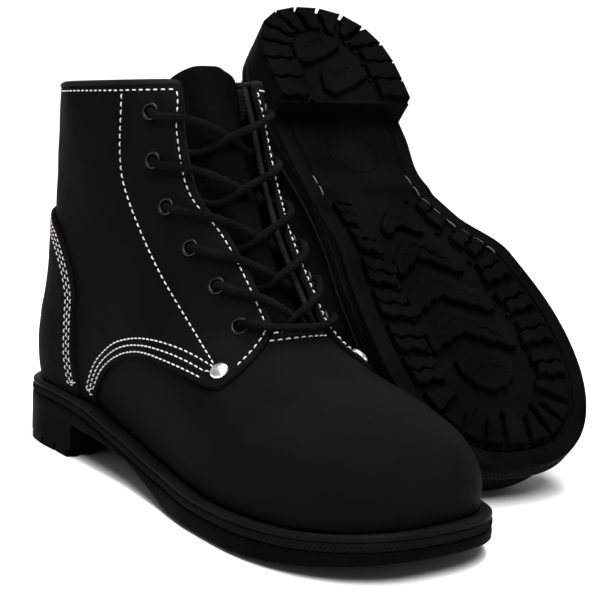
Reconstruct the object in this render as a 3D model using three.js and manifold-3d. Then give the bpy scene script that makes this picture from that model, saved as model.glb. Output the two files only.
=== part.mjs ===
// A pair of laced leather fire boots: right boot standing, left boot lying on its toe and collar.
// Millimetres. +X runs from heel to toe, +Y to the wearer's left, +Z up, the floor is z = 0.
// Everything is modelled once as a right boot; the left boot is its mirror image.
import * as THREE from 'three';
import * as BufferGeometryUtils from 'three/addons/utils/BufferGeometryUtils.js';
import Module from 'manifold-3d';

const wasm = await Module();
wasm.setup();

// ---------------------------------------------------------------- driving dimensions
const GAP = 0.3; // running clearance between neighbouring pieces

// sole
const SOLE_LENGTH = 302;
const BALL_WIDTH = 112.5; // widest part of the sole, at the ball of the foot
const HEEL_LENGTH = 72;
const WELT_HEIGHT = 5;
const WELT_WIDTH = 12;
const WAIST_CLEARANCE = 17; // height of the sole's underside just in front of the heel
const TOE_SPRING = 8.4;
const BOARD_INSET = 16; // from the sole's edge to the insole board's edge
const PLATE_THICKNESS = 0.6;
const BOARD_THICKNESS = 2;
const FOOTBED_THICKNESS = 5;
const SHANK = { start: 62, end: 168, width: 14, thickness: 1.5 };

// leather layers
const LEATHER = 2;
const LINING = 2;
const COUNTER = 1.7; // stiffener inside the heel
const STAY = 1.2; // strip that backs the eyelets
const STEEL = 1.7; // wall of the protective toe cap
const TONGUE_THICKNESS = 3.2;
const TONGUE_RISE = 0.03; // how far the tongue stands above the collar, as a share of the upper
const OVERLAP = 13; // vamp under quarter

// hardware
const RIVET = { head: 8.4, rise: 2.4, shank: 3, tail: 6, tailThickness: 0.8 };
const LACE = 3.4;
const EYELET = { hole: LACE + 2.2, barrel: LACE + 3.2, flange: LACE + 5, rim: 0.8 };
const AGLET = { length: 18, diameter: 3 };

// where the left boot's heel hangs over the floor, and its turn about the vertical in degrees;
// apart is how far its toe lies to the side of the right boot
const LEFT = { x: 27, apart: 91.3, yaw: -6.5 };

// ---------------------------------------------------------------- curves through a few stations
// Monotone cubic through (xs, ys), flat ends extended straight.
function throughPoints(xs, ys) {
  const n = xs.length;
  const slope = [];
  for (let i = 0; i < n - 1; i++) slope.push((ys[i + 1] - ys[i]) / (xs[i + 1] - xs[i]));
  const tangent = [slope[0]];
  for (let i = 1; i < n - 1; i++) {
    const [a, b] = [slope[i - 1], slope[i]];
    tangent.push(a * b <= 0 ? 0 : (2 * a * b) / (a + b));
  }
  tangent.push(slope[n - 2]);
  return (x) => {
    if (x <= xs[0]) return ys[0] + tangent[0] * (x - xs[0]);
    if (x >= xs[n - 1]) return ys[n - 1] + tangent[n - 1] * (x - xs[n - 1]);
    let i = 0;
    while (x > xs[i + 1]) i++;
    const h = xs[i + 1] - xs[i];
    const t = (x - xs[i]) / h;
    const [t2, t3] = [t * t, t * t * t];
    return ys[i] * (2 * t3 - 3 * t2 + 1) + h * tangent[i] * (t3 - 2 * t2 + t)
      + ys[i + 1] * (3 * t2 - 2 * t3) + h * tangent[i + 1] * (t3 - t2);
  };
}

const clamp01 = (t) => Math.min(1, Math.max(0, t));
const easeInOut = (t) => clamp01(t) ** 2 * (3 - 2 * clamp01(t));

// Half width of a closed outline near its two round ends, from 0 at the ends to 1 between them.
function roundEnds(x, back, front, backRound, frontRound, backPower, frontPower) {
  const h = clamp01((back + backRound - x) / backRound);
  const t = clamp01((x - (front - frontRound)) / frontRound);
  const a = Math.max(0, 1 - h ** backPower) ** (1 / backPower);
  const b = Math.max(0, 1 - t ** frontPower) ** (1 / frontPower);
  return a * b;
}

// ---------------------------------------------------------------- the sole's shape
const S = SOLE_LENGTH / 302;
const W = BALL_WIDTH / 112.5;
const soleTopCurve = throughPoints([0, 40, 80, 110, 160, 210, 260, 302].map((x) => x * S),
  [30, 31.5, 30, 25, 18, 15.5, 17, 21]);
// Every layer of the sole bends at the same stations, so that the layers stay parallel.
const SOLE_STEPS = 18;
const SOLE_STATIONS = Array.from({ length: SOLE_STEPS + 1 }, (_, i) => (
  (SOLE_LENGTH * (1 - Math.cos((Math.PI * i) / SOLE_STEPS))) / 2));
function soleTop(x) {
  let i = 0;
  while (i < SOLE_STEPS - 1 && x > SOLE_STATIONS[i + 1]) i++;
  const [a, b] = [SOLE_STATIONS[i], SOLE_STATIONS[i + 1]];
  return THREE.MathUtils.lerp(soleTopCurve(a), soleTopCurve(b), (x - a) / (b - a));
}
const waistBottom = throughPoints([75, 110, 150, 180, 228, 250, 275, 302].map((x) => x * S),
  [1, 0.9, 0.38, 0].map((share) => share * WAIST_CLEARANCE)
    .concat([0, 0.15, 0.5, 1].map((share) => share * TOE_SPRING)));
const soleMedial = throughPoints([0, 45, 84, 115, 147, 181, 224, 302].map((x) => x * S),
  [40.5, 40.5, 37.6, 32.2, 36, 51, 57.6, 57]);
const soleLateral = throughPoints([0, 50, 92, 125, 162, 200, 235, 302].map((x) => x * S),
  [40, 40.3, 41.5, 42.5, 46.5, 53, 55, 52]);
const soleCentre = (x) => 3.5 * clamp01((x / S - 150) / 152);

function soleEdge(x, side, inset = 0) {
  const round = roundEnds(x, inset, SOLE_LENGTH - inset, 45 * S, 75 * S, 2.3, 2.6);
  const half = (side > 0 ? soleMedial(x) : soleLateral(x)) * W - inset;
  return soleCentre(x) * W + side * Math.max(0.4, half * round);
}

// ---------------------------------------------------------------- the upper's shape
// Level 0 is the feather line on the sole, level 1 the collar. Each level is a tilted closed ring.
const LEVELS = [0, 0.1, 0.2, 0.3, 0.4, 0.5, 0.6, 0.8, 1];
const level = (values) => throughPoints(LEVELS, values);
const ring = {
  back: level([9, 7, 6.5, 7, 10, 12.5, 14, 15.6, 12.8]),
  backHeight: level([0, 11, 23, 36, 50, 66, 84, 121.5, 161]),
  front: level([295, 297, 290, 269, 241, 216, 197, 159, 134]),
  frontHeight: level([0, 13, 28, 39.5, 46.6, 56.7, 75, 120, 169]),
  heelHalf: level([32.5, 33.5, 34, 33.5, 33.5, 33.5, 34, 33.8, 31]),
  waistMedial: level([28, 33, 35, 35, 34.5, 34, 34, 36.2, 37.7]),
  waistLateral: level([37, 39, 40, 39.5, 37.5, 36, 35.2, 37.1, 39.7]),
  ballMedial: level([54, 54, 51.6, 46.5, 42, 37.5, 36.5, 38, 42]),
  ballLateral: level([49, 50.5, 50, 47, 43.5, 38.5, 36, 35, 37.5]),
  toeRound: level([68, 72.5, 76, 82, 86, 85, 79, 60, 44]),
  heelRound: level([40, 41, 42, 44, 46, 48, 50, 53, 54]),
  toePower: level([2.6, 2.5, 2.4, 2.3, 2.2, 2.1, 2, 2, 2]),
  shift: level([3.5, 3.5, 3.2, 3, 2.5, 2, 1.5, 0.5, 0]),
};
const HEEL_POWER = 2.3;
const UPPER_LIFT = 0.6; // the upper's lower edge above the welt's curve
const ANKLE_Z = 22; // z of a ring that no longer follows the sole, less its height
const FOLLOWS_SOLE = 95; // height over which the rings forget the sole's curve

// Point on the lasted surface. around: 0 heel centre, 0.25 medial, 0.5 toe, 0.75 lateral.
function surfacePoint(v, around) {
  const side = around <= 0.5 ? 1 : -1;
  const u = (1 - Math.cos(2 * Math.PI * around)) / 2;
  const back = ring.back(v) * S;
  const front = ring.front(v) * S;
  const x = back + (front - back) * u;
  const height = ring.backHeight(v) + (ring.frontHeight(v) - ring.backHeight(v)) * u;
  const round = roundEnds(x, back, front, ring.heelRound(v) * S, ring.toeRound(v) * S,
    HEEL_POWER, ring.toePower(v));
  const waist = side > 0 ? ring.waistMedial(v) : ring.waistLateral(v);
  const ball = side > 0 ? ring.ballMedial(v) : ring.ballLateral(v);
  const half = throughPoints([0, 0.15, 0.45, 0.75, 1],
    [ring.heelHalf(v), ring.heelHalf(v), waist, ball, ball])(u);
  const y = (ring.shift(v) * clamp01(2 * u - 1) + side * half * round) * W;
  const follow = easeInOut(1 - height / FOLLOWS_SOLE);
  return new THREE.Vector3(x, y, height + ANKLE_Z + (soleTopCurve(x) + UPPER_LIFT - ANKLE_Z) * follow);
}

// Unit normal of the surface, outwards.
function surfaceNormal(v, around) {
  const step = 0.004;
  const a = around < step ? step : Math.min(around, 1 - step);
  const mid = Math.abs(a - 0.5) < step ? 0.5 : a;
  const along = surfacePoint(v, Math.min(1, mid + step)).sub(surfacePoint(v, Math.max(0, mid - step)));
  const up = surfacePoint(Math.min(v + step, 1.1), around).sub(surfacePoint(Math.max(v - step, -0.1), around));
  return up.cross(along).normalize();
}

// Point at an offset from the surface; at the feather line the offset is level, along the sole.
function skinPoint(v, around, offset) {
  const normal = surfaceNormal(v, around);
  normal.z *= clamp01(v / 0.06);
  return surfacePoint(v, around).addScaledVector(normal.normalize(), offset);
}

// (level, around) of the surface point seen in side view at x, z on the given side.
function findOnSide(x, z, side) {
  const aroundFor = (v) => {
    let [low, high] = [0, 0.5];
    for (let i = 0; i < 26; i++) {
      const middle = (low + high) / 2;
      if (surfacePoint(v, middle).x < x) low = middle;
      else high = middle;
    }
    return side > 0 ? low : 1 - low;
  };
  let [low, high] = [0, 1.05];
  for (let i = 0; i < 26; i++) {
    const v = (low + high) / 2;
    if (surfacePoint(v, aroundFor(v)).z < z) low = v;
    else high = v;
  }
  return { v: low, around: aroundFor(low) };
}

// ---------------------------------------------------------------- solids
function toManifold(geometry) {
  const plain = geometry.index ? geometry.clone() : geometry;
  for (const name of Object.keys(plain.attributes)) {
    if (name !== 'position') plain.deleteAttribute(name);
  }
  const merged = BufferGeometryUtils.mergeVertices(plain, 1e-5);
  return new wasm.Manifold(new wasm.Mesh({
    numProp: 3,
    vertProperties: new Float32Array(merged.attributes.position.array),
    triVerts: new Uint32Array(merged.index.array),
  }));
}

function toGeometry(solid) {
  const mesh = solid.getMesh();
  const geometry = new THREE.BufferGeometry();
  geometry.setAttribute('position', new THREE.BufferAttribute(mesh.vertProperties, 3));
  geometry.setIndex(new THREE.BufferAttribute(mesh.triVerts, 1));
  geometry.computeVertexNormals();
  return geometry;
}

// Closed solid between two grids of points, outer[i][j] and inner[i][j]; j may close on itself.
function betweenGrids(outer, inner, closed) {
  const [rows, columns] = [outer.length, outer[0].length];
  const vertices = [];
  for (const grid of [outer, inner]) for (const row of grid) for (const p of row) vertices.push(p.x, p.y, p.z);
  const index = (layer, i, j) => layer * rows * columns + i * columns + (j % columns);
  const faces = [];
  const quad = (a, b, c, d) => faces.push(a, b, c, a, c, d);
  const spans = closed ? columns : columns - 1;
  for (let i = 0; i < rows - 1; i++) {
    for (let j = 0; j < spans; j++) {
      quad(index(0, i, j), index(0, i, j + 1), index(0, i + 1, j + 1), index(0, i + 1, j));
      quad(index(1, i, j), index(1, i + 1, j), index(1, i + 1, j + 1), index(1, i, j + 1));
    }
  }
  for (let j = 0; j < spans; j++) {
    quad(index(0, 0, j), index(1, 0, j), index(1, 0, j + 1), index(0, 0, j + 1));
    quad(index(0, rows - 1, j), index(0, rows - 1, j + 1), index(1, rows - 1, j + 1), index(1, rows - 1, j));
  }
  if (!closed) {
    for (let i = 0; i < rows - 1; i++) {
      quad(index(0, i, 0), index(0, i + 1, 0), index(1, i + 1, 0), index(1, i, 0));
      const k = columns - 1;
      quad(index(0, i, k), index(1, i, k), index(1, i + 1, k), index(0, i + 1, k));
    }
  }
  const geometry = new THREE.BufferGeometry();
  geometry.setAttribute('position', new THREE.Float32BufferAttribute(vertices, 3));
  geometry.setIndex(faces);
  const solid = toManifold(geometry);
  if (solid.volume() > 0) return solid;
  for (let f = 0; f < faces.length; f += 3) [faces[f], faces[f + 1]] = [faces[f + 1], faces[f]];
  geometry.setIndex(faces);
  return toManifold(geometry);
}

// All shells of the upper share these grid lines, so that neighbouring layers stay parallel.
const TOP_LEVEL = 0.984; // where the panels stop under the collar binding
const GRID_LEVELS = [0, 0.08, 0.19, 0.32, 0.46, 0.62, 0.8, TOP_LEVEL];
const GRID_COLUMNS = 22;

function shell(outerOffset, innerOffset, levels = GRID_LEVELS) {
  const grid = (offset) => levels.map((v) => Array.from({ length: GRID_COLUMNS }, (_, j) => {
    const around = j / GRID_COLUMNS;
    return skinPoint(v, around, typeof offset === 'number' ? offset : offset(surfacePoint(v, around)));
  }));
  return betweenGrids(grid(outerOffset), grid(innerOffset), true);
}

// Prism of an outline drawn in side view (x, z), from y0 to y1.
function sidePrism(outline, y0, y1) {
  const shape = new THREE.Shape(outline.map(([x, z]) => new THREE.Vector2(x, z)));
  const geometry = new THREE.ExtrudeGeometry(shape, { depth: y1 - y0, bevelEnabled: false });
  geometry.rotateX(Math.PI / 2);
  geometry.translate(0, y1, 0);
  return toManifold(geometry);
}

// Slab lofted along x: left and right edges and top and bottom heights are functions of x.
function slab({ from, to, edge, top, bottom }) {
  const apart = 1.5; // stations nearer than this to an end are left out
  const middle = SOLE_STATIONS.filter((x) => x > from + apart && x < to - apart);
  const stations = [from, ...middle, to].map((x) => (
    { x, low: edge(x, -1), high: edge(x, 1), top: top(x), bottom: bottom(x) }));
  const upper = stations.map((s) => [new THREE.Vector3(s.x, s.low, s.top), new THREE.Vector3(s.x, s.high, s.top)]);
  const lower = stations.map((s) => [new THREE.Vector3(s.x, s.low, s.bottom), new THREE.Vector3(s.x, s.high, s.bottom)]);
  return betweenGrids(upper, lower, false);
}

const rod = (radius, low, high) => [[0, low], [radius, low], [radius, high], [0, high]];
const cutAll = (solid, tools) => tools.reduce((rest, tool) => rest.subtract(tool), solid);

// ---------------------------------------------------------------- panel outlines in side view
const FRONT_EDGE = [[130, 205], [129, 190], [132.5, 182], [137, 166], [148, 142], [164.5, 126],
  [178, 112], [189, 100], [196.5, 91.5], [201.5, 85]];
const QUARTER_TIP = [[203.5, 76], [206.5, 66], [206.5, 61.5]];
const QUARTER_FOOT = [[191, 62.5], [165, 65], [137, 64], [110, 55], [97, 46], [89, 36], [84, 20]];
const VAMP_TOP = [[205.8, 89.5], [200, 86.5], [194, 78], [184, 75], [165, 65 + OVERLAP], [137, 64 + OVERLAP],
  [110 - OVERLAP / 2, 55 + OVERLAP / 2], [97 - OVERLAP, 46 + 3], [89 - OVERLAP, 36], [84 - OVERLAP, 0]];
const POCKET_EDGE = [[72, 0], [72, 35], [68.5, 48], [67.5, 70], [68, 81], [65, 90], [60, 99.5],
  [49, 111], [31, 118.5], [12, 121]];
const STIFFENER_EDGE = [[60, 0], [62, 30], [55, 50], [40, 61], [20, 65]];
const STAY_EDGE = [[126, 182], [131, 166], [143, 143], [159, 126], [174, 112], [186, 99], [197.5, 87], [193, 79.5],
  [182, 78], [164, 92], [146, 108], [129, 125], [118, 146], [113, 168], [112, 182]];
const CAP_BACK = 243; // rear edge of the steel toe cap
const CAP_SLOPE = 6; // how far that edge leans back at the top
const PAST = 400; // beyond every piece
const scaled = (outline) => outline.map(([x, z]) => [x * S, z]);
const behind = (edge) => scaled([...edge, [-PAST, edge.at(-1)[1]], [-PAST, edge[0][1]]]);
const moved = (edge, dx, dz) => edge.map(([x, z]) => [x + dx, z + dz]);

// The open throat between the facings, drawn in front view (y, z).
const THROAT = [[-22, 210], [22, 210], [14, 87], [-14, 87]];
function throatPrism() {
  const shape = new THREE.Shape(THROAT.map(([y, z]) => new THREE.Vector2(y * W, z)));
  const geometry = new THREE.ExtrudeGeometry(shape, { depth: 200, bevelEnabled: false });
  geometry.rotateX(Math.PI / 2).rotateZ(Math.PI / 2);
  geometry.translate(90 * S, 0, 0);
  return toManifold(geometry);
}

const sides = { outer: -1, inner: 1 }; // away from and towards the other foot, on a right boot
const sideSpan = (side) => (side > 0 ? [GAP / 2, PAST] : [-PAST, -GAP / 2]);

// ---------------------------------------------------------------- points on the faceted shells
// The shells are faceted, so what sits on them is placed on the facet under it.
function onFacets(at, offset, levels = GRID_LEVELS) {
  const column = at.around * GRID_COLUMNS;
  const j = Math.floor(column);
  let i = 0;
  while (i < levels.length - 2 && at.v > levels[i + 1]) i++;
  const a = (at.v - levels[i]) / (levels[i + 1] - levels[i]);
  const b = column - j;
  const corner = (di, dj) => skinPoint(levels[i + di], ((j + dj) % GRID_COLUMNS) / GRID_COLUMNS, offset);
  const [p00, p11] = [corner(0, 0), corner(1, 1)];
  const third = a < b ? corner(0, 1) : corner(1, 0);
  const weight = Math.abs(a - b);
  const low = Math.min(a, b);
  return p11.multiplyScalar(low).addScaledVector(third, weight).addScaledVector(p00, 1 - low - weight);
}

function facetNormal(at) {
  return onFacets(at, 1).sub(onFacets(at, 0)).normalize();
}

// ---------------------------------------------------------------- eyelets, rivets and their holes
const EYELETS = [[122.6, 175.6], [127.3, 153.6], [138.6, 133.3], [156, 116.3], [173.8, 101.4], [190.5, 85.6]];
const RIVET_AT = [198.5, 67.5];
const SEAT = LEATHER + GAP; // outer face of the quarters above the lasted surface
const INSIDE = -(LEATHER + LINING + GAP); // inner face of the linings

const hardwarePoint = ([x, z], side) => findOnSide(x * S, z, side);

// Turned piece: closed profile of [radius, height], its axis square to the facet at a point.
function place(profile, at, segments) {
  const geometry = new THREE.LatheGeometry(profile.map(([r, h]) => new THREE.Vector2(r, h)), segments);
  geometry.applyQuaternion(new THREE.Quaternion().setFromUnitVectors(new THREE.Vector3(0, 1, 0), facetNormal(at)));
  const origin = onFacets(at, 0);
  geometry.translate(origin.x, origin.y, origin.z);
  return toManifold(geometry);
}

const EYELET_SIDES = 6;
const FLANGE_LIFT = 0.6; // a flange bridges the facets under it
const eyeletProfile = () => {
  const [hole, barrel, flange] = [EYELET.hole / 2, EYELET.barrel / 2, EYELET.flange / 2];
  const seat = SEAT + FLANGE_LIFT;
  const end = INSIDE - GAP;
  return [[hole, end], [barrel, end], [barrel, seat], [flange, seat], [flange, seat + EYELET.rim / 2],
    [hole, seat + EYELET.rim], [hole, end]];
};
const eyeletHole = (at) => place(rod(EYELET.barrel / 2 + GAP, -14, 14), at, EYELET_SIDES);

const rivetProfile = () => {
  const seat = SEAT + GAP;
  const tail = INSIDE - GAP;
  const [head, shank, end] = [RIVET.head / 2, RIVET.shank / 2, RIVET.tail / 2];
  return [[0, tail - RIVET.tailThickness], [end, tail - RIVET.tailThickness], [end, tail], [shank, tail],
    [shank, seat], [head, seat], [head * 0.94, seat + RIVET.rise * 0.4], [head * 0.55, seat + RIVET.rise * 0.85],
    [0, seat + RIVET.rise]];
};
const rivetHole = (at) => place(rod(RIVET.shank / 2 + GAP, -14, 14), at, 6)
  .add(place(rod(RIVET.tail / 2 + 3 * GAP, -14, INSIDE), at, 6));

const eyeletsAt = (side) => EYELETS.map((xz) => hardwarePoint(xz, side));
const holesFor = (side) => [...eyeletsAt(side).map(eyeletHole), rivetHole(hardwarePoint(RIVET_AT, side))];
const allHoles = () => [...holesFor(-1), ...holesFor(1)];

// ---------------------------------------------------------------- the lace
// The centre line of the lace on the lasted surface: one list of points per strand.
const LACE_OUT = SEAT + FLANGE_LIFT + EYELET.rim + LACE / 2 + 0.2; // over an eyelet's rim
const LACE_IN = INSIDE - LACE / 2 - 0.8; // under the facings
const LACE_UNDER = LACE_IN - 0.2; // lower strand where two cross
const LACE_OVER = LACE_UNDER + LACE + 0.7; // upper strand
const TONGUE_OUT = LACE_UNDER - LACE / 2 - 1.4;

const between = (a, b, share) => ({ v: a.v + (b.v - a.v) * share, around: a.around + (b.around - a.around) * share });

// Point near an eyelet, a distance from its axis towards another place, at a height.
function nearEyelet(at, towards, distance, height) {
  const centre = onFacets(at, 0);
  const normal = facetNormal(at);
  const direction = onFacets(towards, 0).sub(centre);
  direction.addScaledVector(normal, -direction.dot(normal)).normalize();
  return centre.addScaledVector(direction, distance).addScaledVector(normal, height);
}

// In through an eyelet from outside: it comes from one place and leaves inside towards another.
const throughEyelet = (at, from, to) => [
  nearEyelet(at, from, 4.6, LACE_OUT + 0.2),
  nearEyelet(at, from, 0.9, LACE_OUT - 0.9),
  nearEyelet(at, to, 0, -1),
  nearEyelet(at, to, 0.9, INSIDE - 1.9),
  nearEyelet(at, to, 6, LACE_IN),
];

// From under one facing, over the tongue and over the other facing.
const crossing = (from, to, middle) => [
  onFacets(between(from, to, 0.27), LACE_IN),
  onFacets(between(from, to, 0.5), middle),
  onFacets(between(from, to, 0.73), SEAT + LACE / 2 + 0.9),
  onFacets(between(from, to, 0.85), SEAT + LACE / 2 + 1.3),
];

function halfLace(startSide, points) {
  const last = EYELETS.length - 1;
  let side = startSide;
  let from = points.bar;
  const route = [];
  for (let k = last; k >= 0; k--) {
    const here = eyeletsAt(side)[k];
    const next = k > 0 ? eyeletsAt(-side)[k - 1] : points.end(side);
    route.push(...throughEyelet(here, from, next));
    if (k > 0) route.push(...crossing(here, next, side < 0 ? LACE_OVER : LACE_UNDER));
    from = here;
    side = -side;
  }
  return route;
}

// The free end hangs inside the shaft, against the lining.
const END_DROP = [[100, 160], [88, 138], [80, 116], [76, 96]];
const endPlaces = (side) => END_DROP.map((xz) => findOnSide(xz[0] * S, xz[1], side));
function laceRoute() {
  const [outerFirst, innerFirst] = [eyeletsAt(-1)[5], eyeletsAt(1)[5]];
  const bar = between(outerFirst, innerFirst, 0.5);
  const points = { bar, end: (side) => endPlaces(side)[0] };
  const tail = (side) => endPlaces(side).map((at) => onFacets(at, LACE_IN));
  const overEdge = (at, share) => onFacets(between(at, bar, share), SEAT + LACE / 2 + 0.9);
  const chainOuter = [overEdge(outerFirst, 0.45), ...halfLace(-1, points), ...tail(1)];
  const chainInner = [overEdge(innerFirst, 0.45), ...halfLace(1, points), ...tail(-1)];
  return [...chainInner.reverse(), onFacets(bar, SEAT - 0.4), ...chainOuter];
}

// A curve that passes straight from point to point, so that a sweep has one section at each.
class Route extends THREE.Curve {
  constructor(points) {
    super();
    this.points = points;
  }

  getPoint(t, target = new THREE.Vector3()) {
    const place = clamp01(t) * (this.points.length - 1);
    const i = Math.min(Math.floor(place), this.points.length - 2);
    return target.copy(this.points[i]).lerp(this.points[i + 1], place - i);
  }

  getUtoTmapping(u) {
    return u;
  }
}

function cordAlong(points, diameter, sidesOfSection = 6) {
  const section = new THREE.Shape();
  for (let i = 0; i < sidesOfSection; i++) {
    const angle = (2 * Math.PI * i) / sidesOfSection;
    const [x, y] = [(Math.cos(angle) * diameter) / 2, (Math.sin(angle) * diameter) / 2];
    if (i === 0) section.moveTo(x, y);
    else section.lineTo(x, y);
  }
  section.closePath();
  const route = new Route(points);
  const geometry = new THREE.ExtrudeGeometry(section, { steps: points.length - 1, extrudePath: route, curveSegments: 1 });
  return toManifold(geometry);
}

// ---------------------------------------------------------------- one boot's pieces
const above = (dz) => (x) => soleTop(x) + dz;
const insetEdge = (inset) => (x, side) => soleEdge(x, side, inset);
const soleSlab = (inset, low, high) => slab({
  from: inset, to: SOLE_LENGTH - inset, edge: insetEdge(inset), bottom: above(low), top: above(high),
});

const WELT_TOP = 0; // heights in the sole are measured from the welt's top
const WELT_BOTTOM = WELT_TOP - WELT_HEIGHT;
const HEEL_JOIN = 4; // how far the heel block reaches up into the sole

function makeOutsole() {
  const body = slab({
    from: 0, to: SOLE_LENGTH, edge: insetEdge(0), bottom: waistBottom, top: above(WELT_BOTTOM - GAP),
  });
  const heel = slab({
    from: 0, to: HEEL_LENGTH * S, edge: insetEdge(0), bottom: () => 0, top: () => WAIST_CLEARANCE + HEEL_JOIN,
  });
  return body.add(heel);
}

const makeWelt = () => soleSlab(0, WELT_BOTTOM, WELT_TOP)
  .subtract(soleSlab(WELT_WIDTH, WELT_BOTTOM - 2, WELT_TOP + 2));

const shankSlab = (grow) => slab({
  from: SHANK.start * S - grow, to: SHANK.end * S + grow, edge: (x, side) => side * (SHANK.width / 2 + grow),
  bottom: above(WELT_BOTTOM - (grow ? 2 : 0)), top: above(WELT_BOTTOM + SHANK.thickness + grow),
});
const makeShank = () => shankSlab(0);
const makeFiller = () => soleSlab(WELT_WIDTH + GAP, WELT_BOTTOM, -PLATE_THICKNESS - GAP).subtract(shankSlab(GAP));
const makePlate = () => soleSlab(BOARD_INSET, -PLATE_THICKNESS, 0);
const makeBoard = () => soleSlab(BOARD_INSET, GAP, GAP + BOARD_THICKNESS);
const makeFootbed = () => soleSlab(BOARD_INSET, BOARD_THICKNESS + 2 * GAP,
  BOARD_THICKNESS + 2 * GAP + FOOTBED_THICKNESS);

const makeVamp = () => cutAll(
  shell(0, -LEATHER).intersect(sidePrism(scaled([...VAMP_TOP, [PAST, 0], [PAST, 89.5]]), -PAST, PAST)),
  [rivetHole(hardwarePoint(RIVET_AT, -1)), rivetHole(hardwarePoint(RIVET_AT, 1))],
);

// The vamp lining steps inwards under the steel toe cap.
const capPrism = (grow) => sidePrism(scaled([[CAP_BACK - grow, -10], [PAST, -10], [PAST, 120],
  [CAP_BACK - CAP_SLOPE - grow, 120]]), -PAST, PAST);
const CAP_LEVELS = [-0.03, ...GRID_LEVELS];
const CAP_TAPER = 15; // the lining starts to step inwards this far behind the cap
const capSpace = () => shell(0, -LEATHER - STEEL - 2 * GAP, CAP_LEVELS).intersect(capPrism(GAP));
const capStep = (p) => (p.x / S > CAP_BACK - CAP_TAPER ? STEEL + GAP : 0);
const makeVampLining = () => cutAll(
  shell(-LEATHER - GAP, (p) => INSIDE - capStep(p))
    .intersect(sidePrism(scaled([...VAMP_TOP, [PAST, 0], [PAST, 89.5]]), -PAST, PAST)),
  [capSpace(), rivetHole(hardwarePoint(RIVET_AT, -1)), rivetHole(hardwarePoint(RIVET_AT, 1))],
);

const makeToeCap = () => shell(-LEATHER - GAP, -LEATHER - GAP - STEEL).intersect(capPrism(0));

const makeQuarter = (side) => cutAll(
  shell(SEAT, GAP).intersect(sidePrism(behind([...FRONT_EDGE, ...QUARTER_TIP, ...QUARTER_FOOT]), ...sideSpan(side))),
  holesFor(side),
);

const makeStiffener = () => shell(0, -COUNTER).intersect(sidePrism(behind(STIFFENER_EDGE), -PAST, PAST));
const makeQuarterLining = () => cutAll(
  shell(-LEATHER, INSIDE).intersect(sidePrism(
    behind([...FRONT_EDGE.slice(0, -1), ...moved(VAMP_TOP.slice(1), -0.7 * GAP, GAP)]), -PAST, PAST,
  )),
  [throatPrism(), ...allHoles()],
);

const makePocket = () => shell(SEAT + GAP + LEATHER, SEAT + GAP)
  .intersect(sidePrism(behind(POCKET_EDGE), -PAST, PAST));

const makeBinding = () => shell(SEAT, INSIDE, [TOP_LEVEL + 0.0015, 1])
  .intersect(sidePrism(behind(FRONT_EDGE), -PAST, PAST)).subtract(throatPrism());

// The tongue lies under the laces and rises to meet the vamp lining at its root.
const TONGUE_LEVELS = [0.47, 0.51, 0.55, 0.62, 0.8, TOP_LEVEL, 1 + TONGUE_RISE];
const TONGUE_SPREAD = 0.125; // half its width, as a share of the way round
const TONGUE_ROOT = INSIDE - GAP;
function makeTongue() {
  const drop = (v) => TONGUE_ROOT + (TONGUE_OUT - TONGUE_ROOT) * easeInOut((v - 0.5) / 0.1);
  const columns = [-3, -2, -1, 0, 1, 2, 3].map((j) => 0.5 + (j / 3) * TONGUE_SPREAD);
  const grid = (extra) => TONGUE_LEVELS.map((v) => columns.map((around) => {
    const narrow = 0.5 + (around - 0.5) * (v > 1 ? 0.82 : 1);
    return skinPoint(v, narrow, drop(v) + extra);
  }));
  return betweenGrids(grid(0), grid(-TONGUE_THICKNESS), false);
}

// One row of eyelets: six turned eyelets pressed through the strip that backs them.
const makeEyeletRow = (side) => {
  const points = eyeletsAt(side);
  const strip = shell(0, -STAY).intersect(sidePrism(scaled(STAY_EDGE), ...sideSpan(side)));
  const drilled = cutAll(strip, points.map((at) => place(rod(EYELET.hole / 2 + GAP, -14, 14), at, EYELET_SIDES)));
  return points.reduce((row, at) => row.add(place(eyeletProfile(), at, EYELET_SIDES)), drilled);
};
const makeRivet = (side) => place(rivetProfile(), hardwarePoint(RIVET_AT, side), 10);
const makeLace = () => cordAlong(laceRoute(), LACE);
const makeAglet = (side) => {
  const route = laceRoute();
  const [last, previous] = side > 0 ? [route[route.length - 1], route[route.length - 2]] : [route[0], route[1]];
  const direction = last.clone().sub(previous).normalize();
  const start = last.clone().addScaledVector(direction, GAP);
  return cordAlong([start, start.clone().addScaledVector(direction, AGLET.length)], AGLET.diameter);
};

// ---------------------------------------------------------------- materials
const finish = (color, roughness, metalness = 0) => new THREE.MeshStandardMaterial({ color, roughness, metalness });
const leather = finish(0x17171a, 0.5);
const leatherDark = finish(0x121214, 0.62);
const rubber = finish(0x1b1b1c, 0.78);
const weltRubber = finish(0x222223, 0.7);
const lining = finish(0x2b2a2a, 0.95);
const textile = finish(0x1a1a1c, 0.9);
const steel = finish(0xa4a7ab, 0.35, 1);
const blackMetal = finish(0x2a2a2c, 0.35, 1);
const brightMetal = finish(0xd9dadc, 0.22, 1);
const board = finish(0xa08a6a, 0.9);
const cork = finish(0x8a6a48, 0.95);
const laceCord = finish(0x101011, 0.9);
const laceTip = finish(0x0c0c0d, 0.4);

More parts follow.
